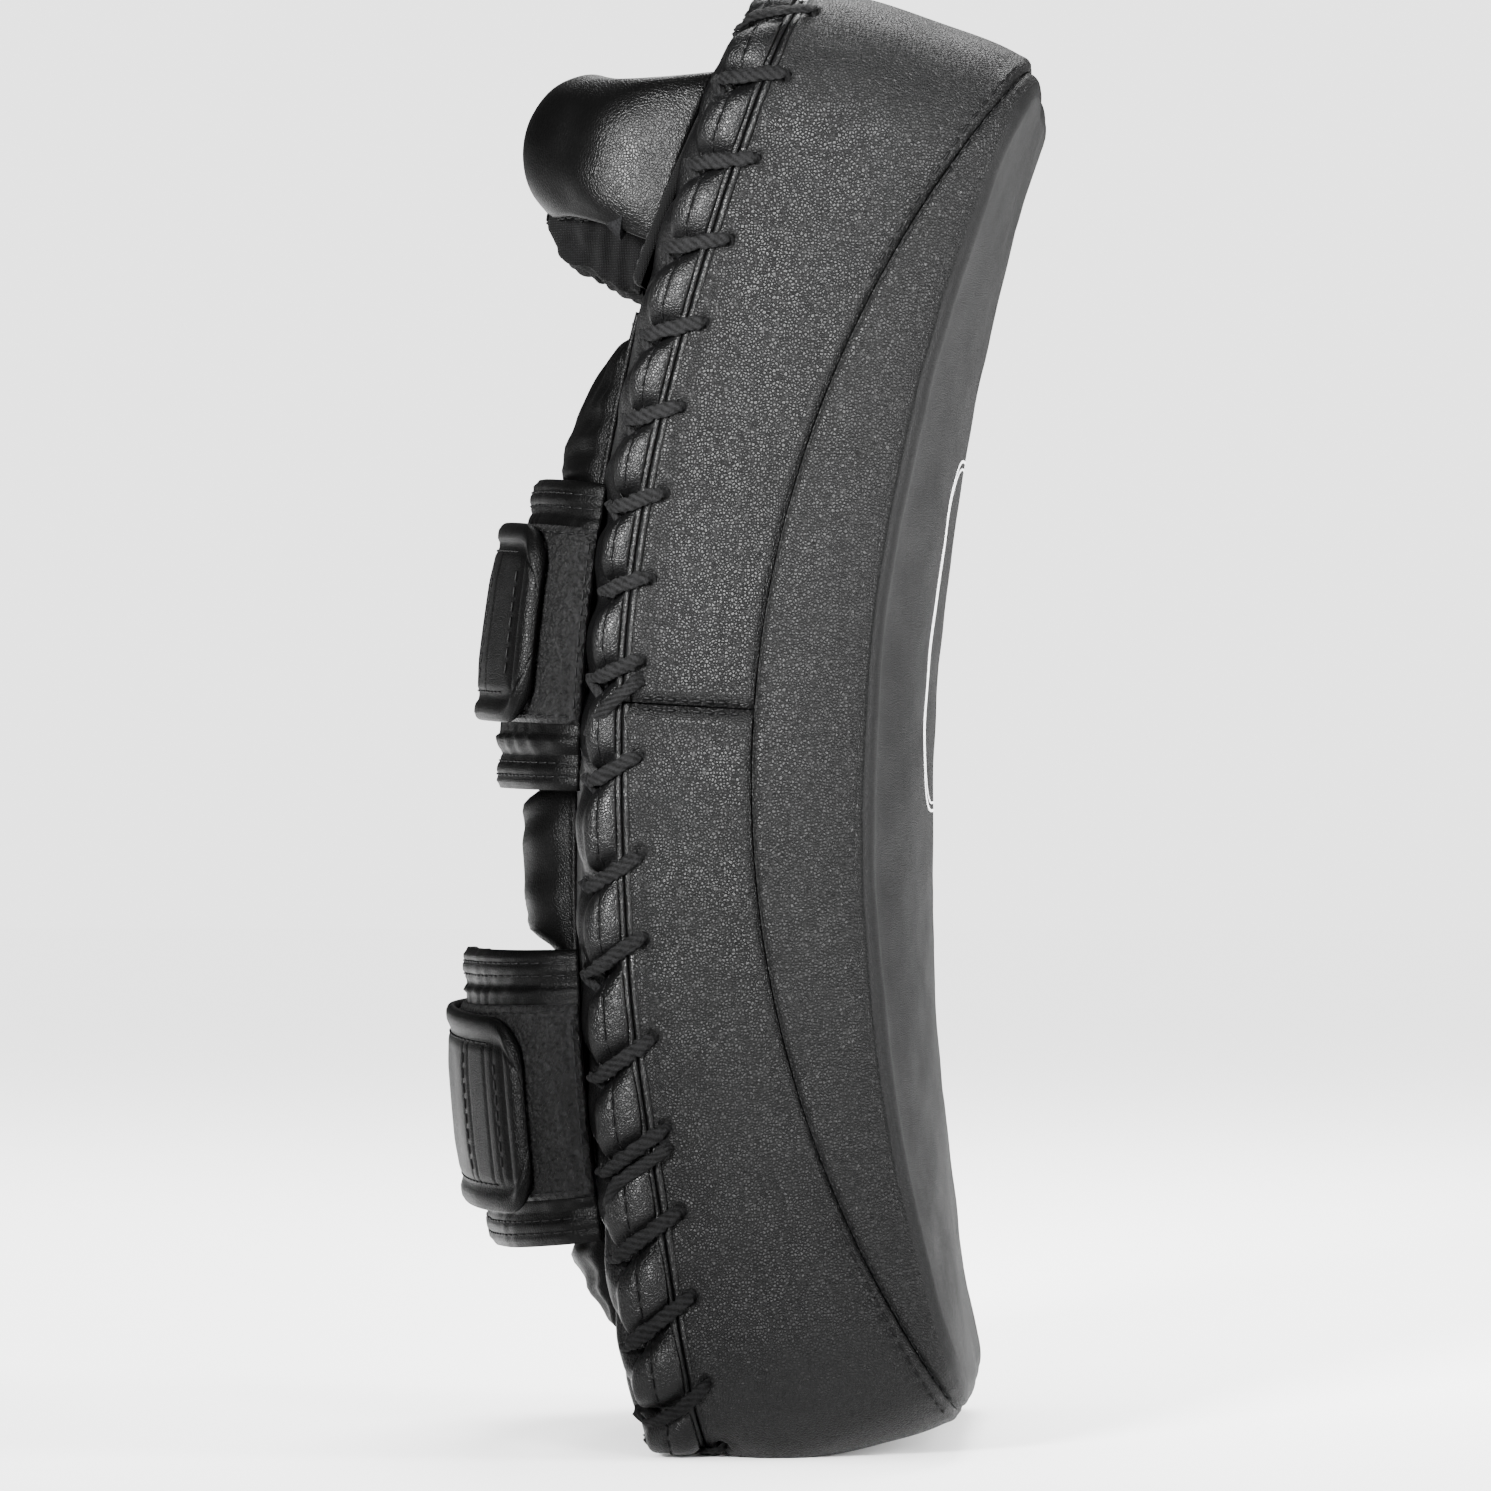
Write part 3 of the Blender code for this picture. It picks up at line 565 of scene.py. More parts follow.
def webbing(name, colour, bright, count=1500.0):
    """Plain woven tape or lining cloth."""
    g = Graph(name, colour, 0.85, Specular_IOR_Level=0.04, Sheen_Weight=0.004, Sheen_Roughness=0.5)
    space = g.space((1, 1, 1))
    waves = []
    for axis in ("X", "Y", "Z"):
        node = g.node("ShaderNodeTexWave", wave_type="BANDS", bands_direction=axis)
        node.inputs["Scale"].default_value = count / 20 * 6.283
        node.inputs["Distortion"].default_value = 0.4
        g.link(space, node.inputs["Vector"])
        waves.append(node.outputs["Fac"])
    weave = g.maths("MULTIPLY", g.maths("ADD", waves[0], waves[1]), waves[2])
    lint = g.noise(space, 900.0, 3.0)
    g.relief((weave, 0.00018), (lint, 0.00008))
    g.tint(g.remap(weave, 0.2, 1.4, 0.0, 1.0), colour, bright)
    return g.mat


def thread():
    g = Graph("thread", grey(0.0005, 0.0001), 0.55, Specular_IOR_Level=0.06)
    twist = g.noise(g.space((5200, 1500, 1), uv=True), 1.0, 1.0)
    g.relief((twist, 0.00008))
    g.tint(twist, grey(0.0002), grey(0.0009, 0.0001))
    return g.mat


def print_ink():
    g = Graph("white_print", grey(0.80), 0.45)
    wear = g.noise(g.space(), 420.0, 4.0)
    g.relief((wear, 0.00003))
    g.tint(g.remap(wear, 0.3, 0.75, 0.0, 1.0), grey(0.82), grey(0.62, 0.01))
    return g.mat


def foam_stuff():
    g = Graph("dark_foam", grey(0.002, 0.0002), 0.95, Specular_IOR_Level=0.02)
    cell = g.cells(g.space(), 1400.0, "F1")
    g.relief((cell, 0.0003))
    g.tint(cell, grey(0.0012, 0.0001), grey(0.0040, 0.0002))
    return g.mat


MATERIALS = {
    "side": leather("side_leather", grey(0.0003), grey(0.0024, 0.0001), 0.50, 0.00085,
                    0.00021, crease=0.00006, gloss=0.10),
    "face": leather("face_leather", grey(0.0009), grey(0.0030, 0.0001), 0.50, 0.0007, 0.00007,
                    crease=0.00015, streak=0.35, gloss=0.08),
    "smooth": leather("smooth_leather", grey(0.0002), grey(0.0006), 0.32, 0.0008,
                      0.00005, crease=0.00012, gloss=0.05),
    "strap": leather("strap_leather", grey(0.0002), grey(0.0006), 0.38, 0.0008,
                     0.00006, crease=0.00012, gloss=0.032),
    "rim": leather("rim_leather", grey(0.0003), grey(0.0008, 0.0001), 0.36, 0.0008, 0.00008,
                   crease=0.00015, gloss=0.09),
    "lace": braid("lace_braid", grey(0.0002), grey(0.0022, 0.0001)),
    "loop": fuzz("loop_pile", grey(0.0001), grey(0.0024, 0.0001), 900.0, 0.0010),
    "hook": fuzz("hook_tape", grey(0.0003), grey(0.0020, 0.0001), 1100.0, 0.0004),
    "web": webbing("lining_cloth", grey(0.0003), grey(0.0012, 0.0001)),
    "thread": thread(),
    "ink": print_ink(),
    "foam": foam_stuff(),
}


# ------------------------------------------------------------------ the padded shell
def pucker(p, x, pitch, seed, reach):
    """Small gathers square to a seam: p along it, x away from it."""
    rng = np.random.default_rng(seed)
    phase = sum(rng.uniform(0.5, 1.0) * np.sin(TAU * p * k / PERIMETER + rng.uniform(0, 6))
                for k in (7, 13, 23, 41))
    size = 0.6 + 0.4 * np.sin(TAU * p * 31 / PERIMETER + 1.3 + phase)
    return np.sin(TAU * p / pitch + 1.6 * phase) * size * np.exp(-np.abs(x) / reach)


def face_grid():
    """Strike face, soft edge and side lens as one closed grid, with its row positions."""
    p = np.linspace(0, PERIMETER, 900, endpoint=False)[:, None]
    y, s, ny, ns = outline(p)
    d0 = drop(s)
    off0 = bulge(ns, d0) - EDGE_R
    k = spans((0.02, 0.80, 34), (0.815, 0.985, 16))[None, :]
    yk, sk = (y + ny * off0) * k, (s + ns * off0) * k
    d = face_depth(yk, sk) * (1 - k ** 9) + d0 * k ** 9
    face = place(yk, sk, d)
    seam = seam_depth(s)
    limit = np.arccos(np.clip(1 - (seam - d0) / EDGE_R, -1, 1))
    limit = np.minimum(limit, math.pi / 2)
    flat = np.maximum(seam - d0 - EDGE_R, 0.0)
    total = limit * EDGE_R + flat
    roll = np.minimum(0.0090, 0.85 * total)
    far = spans((0.02, 0.9, 32), (0.915, 1.0, 14))[None, :]
    run = np.concatenate([roll * np.linspace(0, 1, 30)[None, :], roll + (total - roll) * far], 1)
    turn = np.minimum(run / EDGE_R, limit)
    dd = d0 + EDGE_R * (1 - np.cos(turn)) + np.maximum(run - limit * EDGE_R, 0.0)
    off = bulge(ns, dd) - EDGE_R * (1 - np.sin(turn))
    off = np.where(run > limit * EDGE_R, bulge(ns, dd), off)
    edge = place(y + ny * off, s + ns * off, dd)
    return p, s, k.shape[1], np.concatenate([face, edge], 1), run, total


def seam_stitches(b, p, points, up):
    """Thread beside the curved seam, on both long sides near the pad's two ends."""
    y, s, ny = outline(p[:, 0])[:3]
    for lo, hi in ((0.120, 0.190), (-0.196, -0.128)):
        for side in (-1, 1):
            line = np.flatnonzero((np.sign(y) == side) & (s > lo) & (s < hi) & (np.abs(ny) > 0.35))
            if len(line) > 8:
                b.stitches(points[line], up[line], pitch=0.0046, width=0.0007)


RIDGE = 0.0064          # distance of the pressed crease from the strike face's edge


def face_panel():
    p, s, rows, grid, run, total = face_grid()
    n = outward(grid, (-0.01, 0, 0.2), closed=True)
    h = 0.00035 * ripple(grid, 11, 0.075) + 0.00012 * ripple(grid, 12, 0.022)
    to_seam = np.concatenate([np.full((len(p), rows), 1.0), total - run], 1)
    ends = near_end(s)
    h -= 0.0012 * bump(to_seam, 0.0009)
    h += 0.0002 * bump(to_seam - 0.0028, 0.0016)
    h += (0.00005 + 0.00015 * ends) * pucker(p, to_seam, 0.0072, 5, 0.0045)
    # the pressed crease between the strike face and the sides
    ridge = np.concatenate([np.full((len(p), rows), 1.0), run - RIDGE], 1)
    h -= 0.0007 * bump(ridge, 0.0011) * (1 - 0.8 * ends)
    grid = grid + n * h[..., None]
    grid[..., 2] = np.maximum(grid[..., 2], 0.0)
    b = Builder()
    b.shell(grid, n, 0.0022, "face", closed=True, cap=True, split=(rows + 21, "side"))
    seam_stitches(b, p, grid[:, -8], n[:, -8])
    b.piece("face_panel", "pad", ["front_cover"])


HOLE_IN = 0.0024        # lace holes, in from the hem's edge


def side_panel(name, node, lo, hi):
    """Half of the side wall, with its curved seam, mid-side seam and folded hem."""
    p = np.linspace(lo, hi, int((hi - lo) / 0.0012))[:, None]
    s = outline(p)[1]
    top, hem = seam_depth(s) + 0.0003, hem_line(s)
    span = hem - top
    t = spans((0, 0.12, 12), (0.14, 0.78, 26), (0.795, 1, 26))[None, :]
    d = top + span * t
    x = np.clip((drop(s) + EDGE_R - d) / EDGE_R, 0, 1)
    front = EDGE_R * (1 - np.sqrt(1 - x * x))
    grid = side_point(p, d, -front)
    n = outward(grid, (0.0, 0, 0.2))
    to_seam, to_hem = d - top, hem - d
    mid = np.minimum(np.abs(p - lo), np.abs(p - hi)) + 0 * d
    h = 0.0005 * ripple(grid, 21, 0.085) + 0.00014 * ripple(grid, 22, 0.018)
    # curved seam: sunk edge, low ridge, gathers that grow towards the ends
    ends = near_end(s)
    h -= 0.0012 * bump(to_seam, 0.0009)
    h += 0.0003 * bump(to_seam - 0.0026, 0.0016)
    h += (0.00004 + 0.00018 * ends) * pucker(p, to_seam, 0.0066, 6, 0.005)
    # mid-side seam: deeper valley with lifted, gathered lips
    h -= 0.0021 * bump(mid, 0.0019)
    h += 0.0006 * bump(mid - 0.0034, 0.0022)
    h += 0.00030 * np.sin(TAU * d / 0.0045 + 2.0 * ripple(grid, 23, 0.03)) * bump(mid - 0.002, 0.0025)
    # hem: a rolled edge, pulled down by the lace and dimpled round its holes
    share_of, near = around(p, HEM_P)
    pull = bump(near, 0.0042)
    h += 0.0004 * bump(to_hem - 0.0016, 0.0014)
    h -= 0.0007 * pull * bump(to_hem - 0.0010, 0.0040)
    hole = np.hypot(near, to_hem - HOLE_IN)
    h += 0.0006 * bump(hole - 0.0027, 0.0011) - 0.0020 * bump(hole, 0.0016)
    h += 0.00035 * np.sin(math.pi * share_of) * np.exp(-to_hem / 0.009)
    h += 0.00020 * pucker(p, to_hem - 0.004, 0.011, 8, 0.006)
    grid = grid + n * h[..., None]
    # turned edges
    for count in range(3):
        f = (count + 1) / 3
        last = grid[:, -1:] - n[:, -1:] * 0.0012 * f ** 1.5
        grid = np.concatenate([grid, last + (side_point(p, hem + 0.0010 * math.sin(f * 1.57)) -
                                             side_point(p, hem))], 1)
        n = np.concatenate([n, n[:, -1:]], 1)
    grid[..., 2] = np.maximum(grid[..., 2], 0.0)
    b = Builder()
    b.shell(grid, n, 0.0020, "side")
    # two piped strips sewn under the hem's edge
    ang = TAU * np.arange(10) / 10
    wave = 0.00025 * np.sin(math.pi * share_of) + 0.00012 * ripple(grid[:, -1:], 24, 0.012)
    for centre, lift in ((0.0012, -0.0006), (0.0034, -0.0008)):
        sunk = lift + wave - 0.0006 * pull
        rings = side_point(p, hem + centre + 0.0011 * np.cos(ang), sunk + 0.0012 * np.sin(ang))
        b.tube(rings, "rim")
    near_seam = int(np.argmin(np.abs(to_seam[len(p) // 2] - 0.0030)))
    seam_stitches(b, p, grid[:, near_seam], n[:, near_seam])
    for end in (1, -2):
        col = slice(4, grid.shape[1] - 6)
        b.stitches(grid[end, col], n[end, col], pitch=0.0036, length=0.0024,
                   width=0.0009, rise=0.0006)
    b.piece(name, "pad", [node])


RIM_IN = 0.0018         # lace holes, in from the rim's corner


def rear_panel():
    """Rear leather with its turned rim: petals between the lace stitches, puffs behind them."""
    p = np.linspace(0, PERIMETER, 900, endpoint=False)[:, None]
    y, s, ny, ns = outline(p)
    end = hem_depth(s) + LACE_GAP + RIM
    lean = 0.6 * slant(s)
    petal = np.sin(math.pi * around(p - lean, RIM_P)[0]) ** 0.7
    t = np.linspace(0, 1, 34)[None, :]
    lip = hem_line(s) + 0.0046 - 0.0009 * petal
    d = lip + (end - 0.0012 - lip) * t
    rim = side_point(p, d)
    k = spans((1.0, 0.80, 26), (0.78, 0.05, 26))[None, :]
    b_in = -RIM_TAPER - np.where(k > 0.97, 0.0030 + (1 - k) * 0.1, 0.0060)
    yy, ss = (y + ny * b_in) * k, (s + ns * b_in) * k
    rear = place(yy, ss, rear_depth(yy, ss), HEM_LIFT)
    grid = np.concatenate([rim, rear], 1)
    n = outward(grid, (0.0, 0, 0.2), closed=True)
    across = np.concatenate([t + 0 * p, 1.0 + 0 * (k + p)], 1)
    back = np.concatenate([d - end, (1 - k) * 0.1 + 0 * p], 1)      # distance behind the rim's corner
    share_of, near = around(p - lean * (1 - across), RIM_P)
    petal = np.sin(math.pi * share_of) ** 0.7
    leaf = np.sqrt(np.clip(1 - ((across - 0.46) / 0.54) ** 2, 0, 1)) * (back < 0)
    h = (0.0004 + 0.0026 * petal) * leaf
    h -= 0.0005 * bump(across - 0.52, 0.045) * petal
    h -= 0.0030 * bump(near, 0.0034) * leaf
    h += (0.0009 * petal - 0.0018 * (1 - petal)) * bump(back + 0.0005, 0.0035)
    h -= 0.0022 * bump(np.hypot(near, back + RIM_IN), 0.0026)
    h -= 0.0026 * bump(near, 0.0046) * bump(back + 0.0012, 0.0052)
    h -= 0.0014 * bump(back - 0.0004, 0.0012)
    puff = petal ** 2
    h += 0.0016 * puff * bump(back - 0.0056, 0.0040) * (0.75 + 0.25 * ripple(grid, 31, 0.05))
    h -= 0.0009 * (1 - puff) * bump(back - 0.0060, 0.0070)
    h += 0.0007 * ripple(grid, 32, 0.050) * smooth((back - 0.001) / 0.02)
    h += 0.0002 * pucker(p, back, 0.0088, 33, 0.010)
    grid = grid + n * h[..., None]
    grid[..., 2] = np.maximum(grid[..., 2], HEM_LIFT * 0.5)
    b = Builder()
    grid, n = grid[:, ::-1], n[:, ::-1]
    b.shell(grid, n, 0.0020, "rim", closed=True, cap=True)
    rows = grid.shape[1]
    row = rows - 1 - int(np.argmin(np.abs(t[0] - 0.52)))
    loop = np.concatenate([grid[:, row], grid[:1, row]])
    b.stitches(loop, np.concatenate([n[:, row], n[:1, row]]), pitch=0.0046, length=0.0032)
    b.piece("rear_panel", "pad", ["rear_cover"])


# ------------------------------------------------------------------ lace
LACE_W, LACE_T, STRAND = 0.0040, 0.0012, 0.0015     # the flat lace, and the pitch of its strands


def spline(points, steps):
    """Catmull-Rom through the points; steps[k] samples on the k-th span."""
    pts = np.asarray(points)
    ext = np.concatenate([[2 * pts[0] - pts[1]], pts, [2 * pts[-1] - pts[-2]]])
    out = []
    for k, count in enumerate(steps):
        a, b, c, d = ext[k:k + 4]
        t = (np.arange(count) / count)[:, None]
        out.append(0.5 * (2 * b + (c - a) * t + (2 * a - 5 * b + 4 * c - d) * t ** 2
                          + (3 * b - a - 3 * c + d) * t ** 3))
    out.append(pts[-1:])
    return np.concatenate(out)


def flat_braid(line, up, width, thick, n=14, spread=None):
    """Rings of a flat braided cord along a line, with a herringbone of strands in relief."""
    tan = unit(np.gradient(line, axis=0))
    side = unit(np.cross(tan, up))
    thin = np.cross(side, tan)
    run = travelled(line)
    ang = TAU * np.arange(n) / n
    c, e = np.cos(ang), np.sin(ang)
    shape_w, shape_t = np.sign(c) * np.abs(c) ** 0.85, np.sign(e) * np.abs(e) ** 0.85
    w = width if spread is None else width * spread[:, None]
    strand = np.abs(np.sin(math.pi * (run[:, None] / STRAND + np.sign(e) * 0.25 + np.abs(c) * 0.7)))
    fray = ripple(line[:, None] + side[:, None] * (c * width)[..., None], 91, 0.0022) * 0.13
    knob = 1 + 0.12 * (strand - 0.6) + fray
    return line[:, None] + side[:, None] * (shape_w * w / 2 * knob)[..., None] \
        + thin[:, None] * (shape_t * thick / 2 * (1 + 0.50 * (strand - 0.6) + 2 * fray))[..., None]


def hole_depths(g, r):
    """Depths of a hem hole at g and of a rim hole at r."""
    return hem_line(outline(g)[1]) - HOLE_IN, hem_depth(outline(r)[1]) + LACE_GAP + RIM - RIM_IN


def lace():
    """One captive lace, whip-stitched through both rows of holes all the way round."""
    b = Builder()
    rng = np.random.default_rng(3)
    points, ups, steps, widths = [], [], [], []
    for k in range(PITCH_COUNT):
        g, r = HEM_P[k], RIM_P[k]
        d_g, d_r = hole_depths(g, r)
        wobble = rng.normal(0, 0.0006, 3)[0]
        for f, dd, off, count in (
                (0.0, d_g - 0.0008, -0.0040, 5), (0.02, d_g - 0.0002, 0.0004, 6),
                (0.16, d_g + 0.0024, 0.0017, 9), (0.50, (d_g + d_r) / 2, 0.0018, 11),
                (0.84, d_r - 0.0024, 0.0019, 7), (0.99, d_r + 0.0002, 0.0002, 5),
                (1.0, d_r + 0.0008, -0.0040, 4)):
            q = g + (r - g) * f + (wobble if 0 < f < 1 else 0)
            points.append(side_point(q, dd, off, 0.0018 - HEM_LIFT if off > 0 else 0.0))
            ups.append(side_point(q, dd, off + 0.01, -1.0) - side_point(q, dd, off, -1.0))
            steps.append(count)
            widths.append(0.62 if off < 0.001 else 1.0)
    steps[-1] = 0
    line = spline(np.array(points), steps[:-1])
    up = spline(np.array(ups), steps[:-1])
    wide = spline(np.array(widths)[:, None], steps[:-1])[:, 0]
    rings = flat_braid(line, up, LACE_W, LACE_T, spread=wide)
    b.tube(rings, "lace")
    # two more crossings where the near side's lace doubles back over itself
    for g, r in ((0.0110, -0.0025), (-0.1075, -0.1215)):
        d_g, d_r = hole_depths(g, r)
        route = [(g, d_g - 0.0008, -0.004), (g, d_g, 0.0006), (g + (r - g) * 0.2, d_g + 0.003, 0.0030),
                 (g + (r - g) * 0.6, d_r - 0.004, 0.0034), (r, d_r, 0.0006), (r, d_r + 0.001, -0.004)]
        line = spline(np.array([side_point(*q) for q in route]), [6] * 5)
        up = spline(np.array([side_point(p, d, off + 0.01) - side_point(p, d, off)
                              for p, d, off in route]), [6] * 5)
        b.tube(flat_braid(line, up, 0.0036, 0.0016), "lace")
    b.piece("side_lacing", "pad", ["lace"])


# ------------------------------------------------------------------ forearm cushion
def arm_lift(y, s):
    """Height of the forearm cushion over the rear leather, pinched under the cuffs."""
    across = (1 - np.minimum(1.0, np.abs(y) / ARM_W) ** 3.0) ** 0.6
    mid, half = (ARM_LO + ARM_HI) / 2, (ARM_HI - ARM_LO) / 2
    along = (1 - np.minimum(1.0, np.abs(s - mid) / half) ** 4.0) ** 0.6
    height = 0.0150
    for cuff in CUFFS.values():
        height = height - 0.0120 * np.exp(-((s - cuff["s"]) / 0.0385) ** 14)
    return height * across * along


ARM_HEM = 0.006         # flat hem sewn down round the forearm cushion


def arm_cushion():
    w = ARM_W + ARM_HEM
    y = spans((-w, -w * 0.84, 10), (-w * 0.82, w * 0.82, 50), (w * 0.84, w, 10))[:, None]
    lo, hi = ARM_LO - ARM_HEM, ARM_HI + ARM_HEM
    s = spans((lo, lo + 0.014, 12), (lo + 0.016, hi - 0.016, 120), (hi - 0.014, hi, 12))[None, :]
    lift = arm_lift(y, s)
    grid = place(y, s, rear_depth(y, s) + 0.0019 + lift)
    n = outward(grid, BEHIND)
    edge = nearest(w - np.abs(y), s - lo, hi - s)
    h = -0.0011 * bump(edge - 0.0050, 0.0012)
    gather = np.sin(TAU * s / 0.0115 + 2.2 * np.sin(s * 90)) * bump(np.abs(y) - ARM_W + ARM_HEM, 0.009)
    gather += np.sin(TAU * y / 0.0105 + 1.8 * np.sin(y * 120)) \
        * (bump(s - ARM_HI + 0.008, 0.010) + bump(s - ARM_LO - 0.008, 0.010))
    h += 0.0006 * gather * smooth((edge - ARM_HEM) / 0.003)
    folds = 0.0
    for cuff in CUFFS.values():
        for sign in (-1, 1):
            at = cuff["s"] + sign * (cuff["w"] / 2 + 0.004)
            folds = folds + bump(s - at, 0.012) * np.sin(TAU * (s + 0.10 * y) / 0.0095 + sign)
    h += 0.0005 * folds * smooth((edge - ARM_HEM) / 0.01) * smooth(lift / 0.006)
    h += 0.0007 * ripple(grid, 41, 0.045) * smooth((edge - ARM_HEM) / 0.01)
    grid = grid + n * h[..., None]
    b = Builder()
    b.shell(grid, n, 0.0016, "strap")
    b.edge_stitches(grid, n, 5, 4, 4)
    b.piece("arm_cushion", "pad", ["arm_pad_cover"])


# ------------------------------------------------------------------ handle
ROLL_HALF = 0.0485      # half the length of the straight roll


def roll_centre(y):
    return 0.1180 + 0.0040 * (1 - (y / 0.055) ** 2)


def handle_rings(legs=34, roll=40, n=72):
    """Rings of the handle, as in the CAD but finer: (rings, leg share 0 foot to 1 roll, angle)."""
    f = np.concatenate([np.linspace(0, 1, legs), np.ones(roll), np.linspace(1, 0, legs)])
    y = -0.074 + 0.024 * (1 - np.cos(f * math.pi / 2))
    mid = slice(legs, legs + roll)
    y[mid] = np.linspace(-ROLL_HALF, ROLL_HALF, roll)
    y[legs + roll:] *= -1
    far = np.arange(len(f)) >= legs + roll
    a = np.where(far, math.pi - f * math.pi / 2, f * math.pi / 2)
    rise = roll_centre(-0.050) - BASE_FOOT
    d = BASE_FOOT + rise * np.sin(f * math.pi / 2) - 0.0015 * (1 - smooth(f / 0.8))
    d[mid] = roll_centre(y[mid])
    flare = np.exp(-(f / 0.34) ** 1.3)
    round_ = smooth((f - 0.55) / 0.45)
    half_s = 0.0176 + 0.0052 * flare + 0.0008 * round_ - 0.0006 * bump(f - 0.52, 0.22)
    half_n = 0.0050 + 0.0045 * smooth(f / 0.6) + 0.0080 * round_
    r = ROLL_R_MID + (ROLL_R_END + 0.0008 - ROLL_R_MID) * smooth(np.abs(y[mid]) / ROLL_HALF)
    half_n[mid], half_s[mid] = r - 0.0002, r + 0.0006
    centre_s = ROLL_S - 0.0004 + 0.0034 * flare
    ang = TAU * np.arange(n) / n
    square = 1 + 0.9 * flare                     # the foot is a flat strip, the roll is round
    c, e = np.cos(ang)[None, :], np.sin(ang)[None, :]
    c = np.sign(c) * np.abs(c) ** (1 / square)[:, None]
    off_s = half_s[:, None] * c
    off_n = half_n[:, None] * e
    slope = flare[:, None] * (-0.0028 - 0.105 * off_s)
    rings = place(y[:, None] - off_n * np.cos(a)[:, None], centre_s[:, None] + off_s,
                  d[:, None] + off_n * np.sin(a)[:, None] + slope)
    return rings, f, ang


def handle():
    rings, f, ang = handle_rings()
    centre = rings.mean(1, keepdims=True)
    n = normals(rings.transpose(1, 0, 2), closed=True).transpose(1, 0, 2)
    n = np.where(np.sum(n * (rings - centre), -1, keepdims=True) < 0, -n, n)
    low = np.abs(np.angle(np.exp(1j * (ang - math.pi))))[None, :]      # 0 at the lower, finger side
    h = -0.0010 * bump(low, 0.10) + 0.0005 * bump(low - 0.26, 0.14)
    h = h + 0.0003 * ripple(rings, 51, 0.040) + 0.00008 * ripple(rings, 52, 0.011)
    neck = bump(f - 0.55, 0.22)[:, None]
    h += 0.00018 * neck * np.sin(7 * ang + 1.2 + 9 * f[:, None]) * (f[:, None] < 0.98)
    rings = rings + n * h[..., None]
    b = Builder()
    b.shell(rings.transpose(1, 0, 2), n.transpose(1, 0, 2), 0.0022, "smooth", closed=True)
    for k in (int(np.argmin(np.abs(ang - math.pi + 0.20))), int(np.argmin(np.abs(ang - math.pi - 0.20)))):
        b.stitches(rings[16:-16, k], n[16:-16, k])
    b.piece("handle_loop", "pad", ["handle_cover"])

    b = Builder()
    yy = np.linspace(-BASE_Y, BASE_Y, 120)[:, None]
    ss = np.linspace(BASE_LO, BASE_HI, 70)[None, :]
    tilt = -0.0020 - 0.090 * (ss - ROLL_S)
    lift = 0.0024 + (0.0012 + tilt) * smooth((np.abs(yy) - 0.035) / 0.035)
    grid = place(yy, ss, rear_depth(yy, ss) + lift)
    n = outward(grid, BEHIND)
    edge = nearest(BASE_Y - np.abs(yy), ss - BASE_LO, BASE_HI - ss)
    h = 0.0009 * smooth(edge / 0.0012) * (1 - smooth((edge - 0.0055) / 0.0012))
    h -= 0.0006 * bump(edge - 0.0032, 0.0006)
    grid = grid + n * h[..., None]
    b.shell(grid, n, 0.0020, "web")
    b.edge_stitches(grid, n, 3, 4, 3)
    b.piece("handle_binding", "pad", ["handle_base"])

    # crumpled lining under the roll, closed at both legs
    b = Builder()
    t = np.linspace(0, 1, 60)[:, None]
    q = np.linspace(-1, 1, 150)[None, :]
    d = 0.0958 + 0.0292 * t
    floor_s = 0.1092 + 0.0070 * t ** 1.3 + 0.0050 * smooth((t - 0.8) / 0.2)
    wall = smooth((np.abs(q) - 0.72) / 0.28)
    reach = wall * (0.0165 - 0.0100 * smooth((t - 0.5) / 0.5))
    y = np.sign(q) * (np.minimum(np.abs(q) / 0.72, 1.0) * 0.046 + reach)
    s = floor_s + (0.1262 - floor_s) * wall
    grid = place(y, s, d + 0 * q)
    n = normals(grid)
    n = n if n[..., 2].sum() < 0 else -n
    crush = np.sin(TAU * (d + 0.25 * s) / 0.0072 + 3 * np.sin(q * 9 + t * 4))
    rim = smooth((1 - np.abs(q)) / 0.05) * smooth((1 - t) / 0.05)
    h = (0.0004 * crush + 0.0007 * ripple(grid, 61, 0.014)) * rim
    grid = grid + n * h[..., None]
    b.shell(grid, n, 0.0012, "web")
    edge = np.concatenate([grid[:, 2], grid[-1, 2:-2], grid[::-1, -3]])
    up = np.concatenate([n[:, 2], n[-1, 2:-2], n[::-1, -3]])
    b.stitches(edge, up)
    b.piece("handle_underside", "pad", ["handle_lining"])


# ------------------------------------------------------------------ cuffs
def arch(cuff, turn, off, s):
    """Cuff cross section: (y, d) at angle turn and length s, moved outwards by off."""
    a, h = CUFF_A, cuff["h"] - cuff["tilt"] * (s - cuff["s"])
    foot = rear_depth(a, s) + 0.0003
    y, d = -a * np.cos(turn), h * np.sin(turn)
    ny, nd = -np.cos(turn) / a, np.sin(turn) / h
    size = np.hypot(ny, nd)
    return y + off * ny / size, foot + d + off * nd / size


def arch_at(cuff, turn, off, s):
    y, d = arch(cuff, turn, off, s)
    return place(y, s, d)


def even_turns(cuff, lo, hi, count):
    """Turns from lo to hi degrees, evenly spaced along the arch."""
    t = np.radians(np.linspace(lo, hi, 400))
    line = arch_at(cuff, t, 0.0, cuff["s"])
    run = travelled(line)
    return np.interp(np.linspace(0, run[-1], count), run, t), run[-1]


def corner_cut(far):
    """Rounded corners at the band's free end, far metres from it."""
    return 0.0042 * (1 - quarter(far, 0.030))


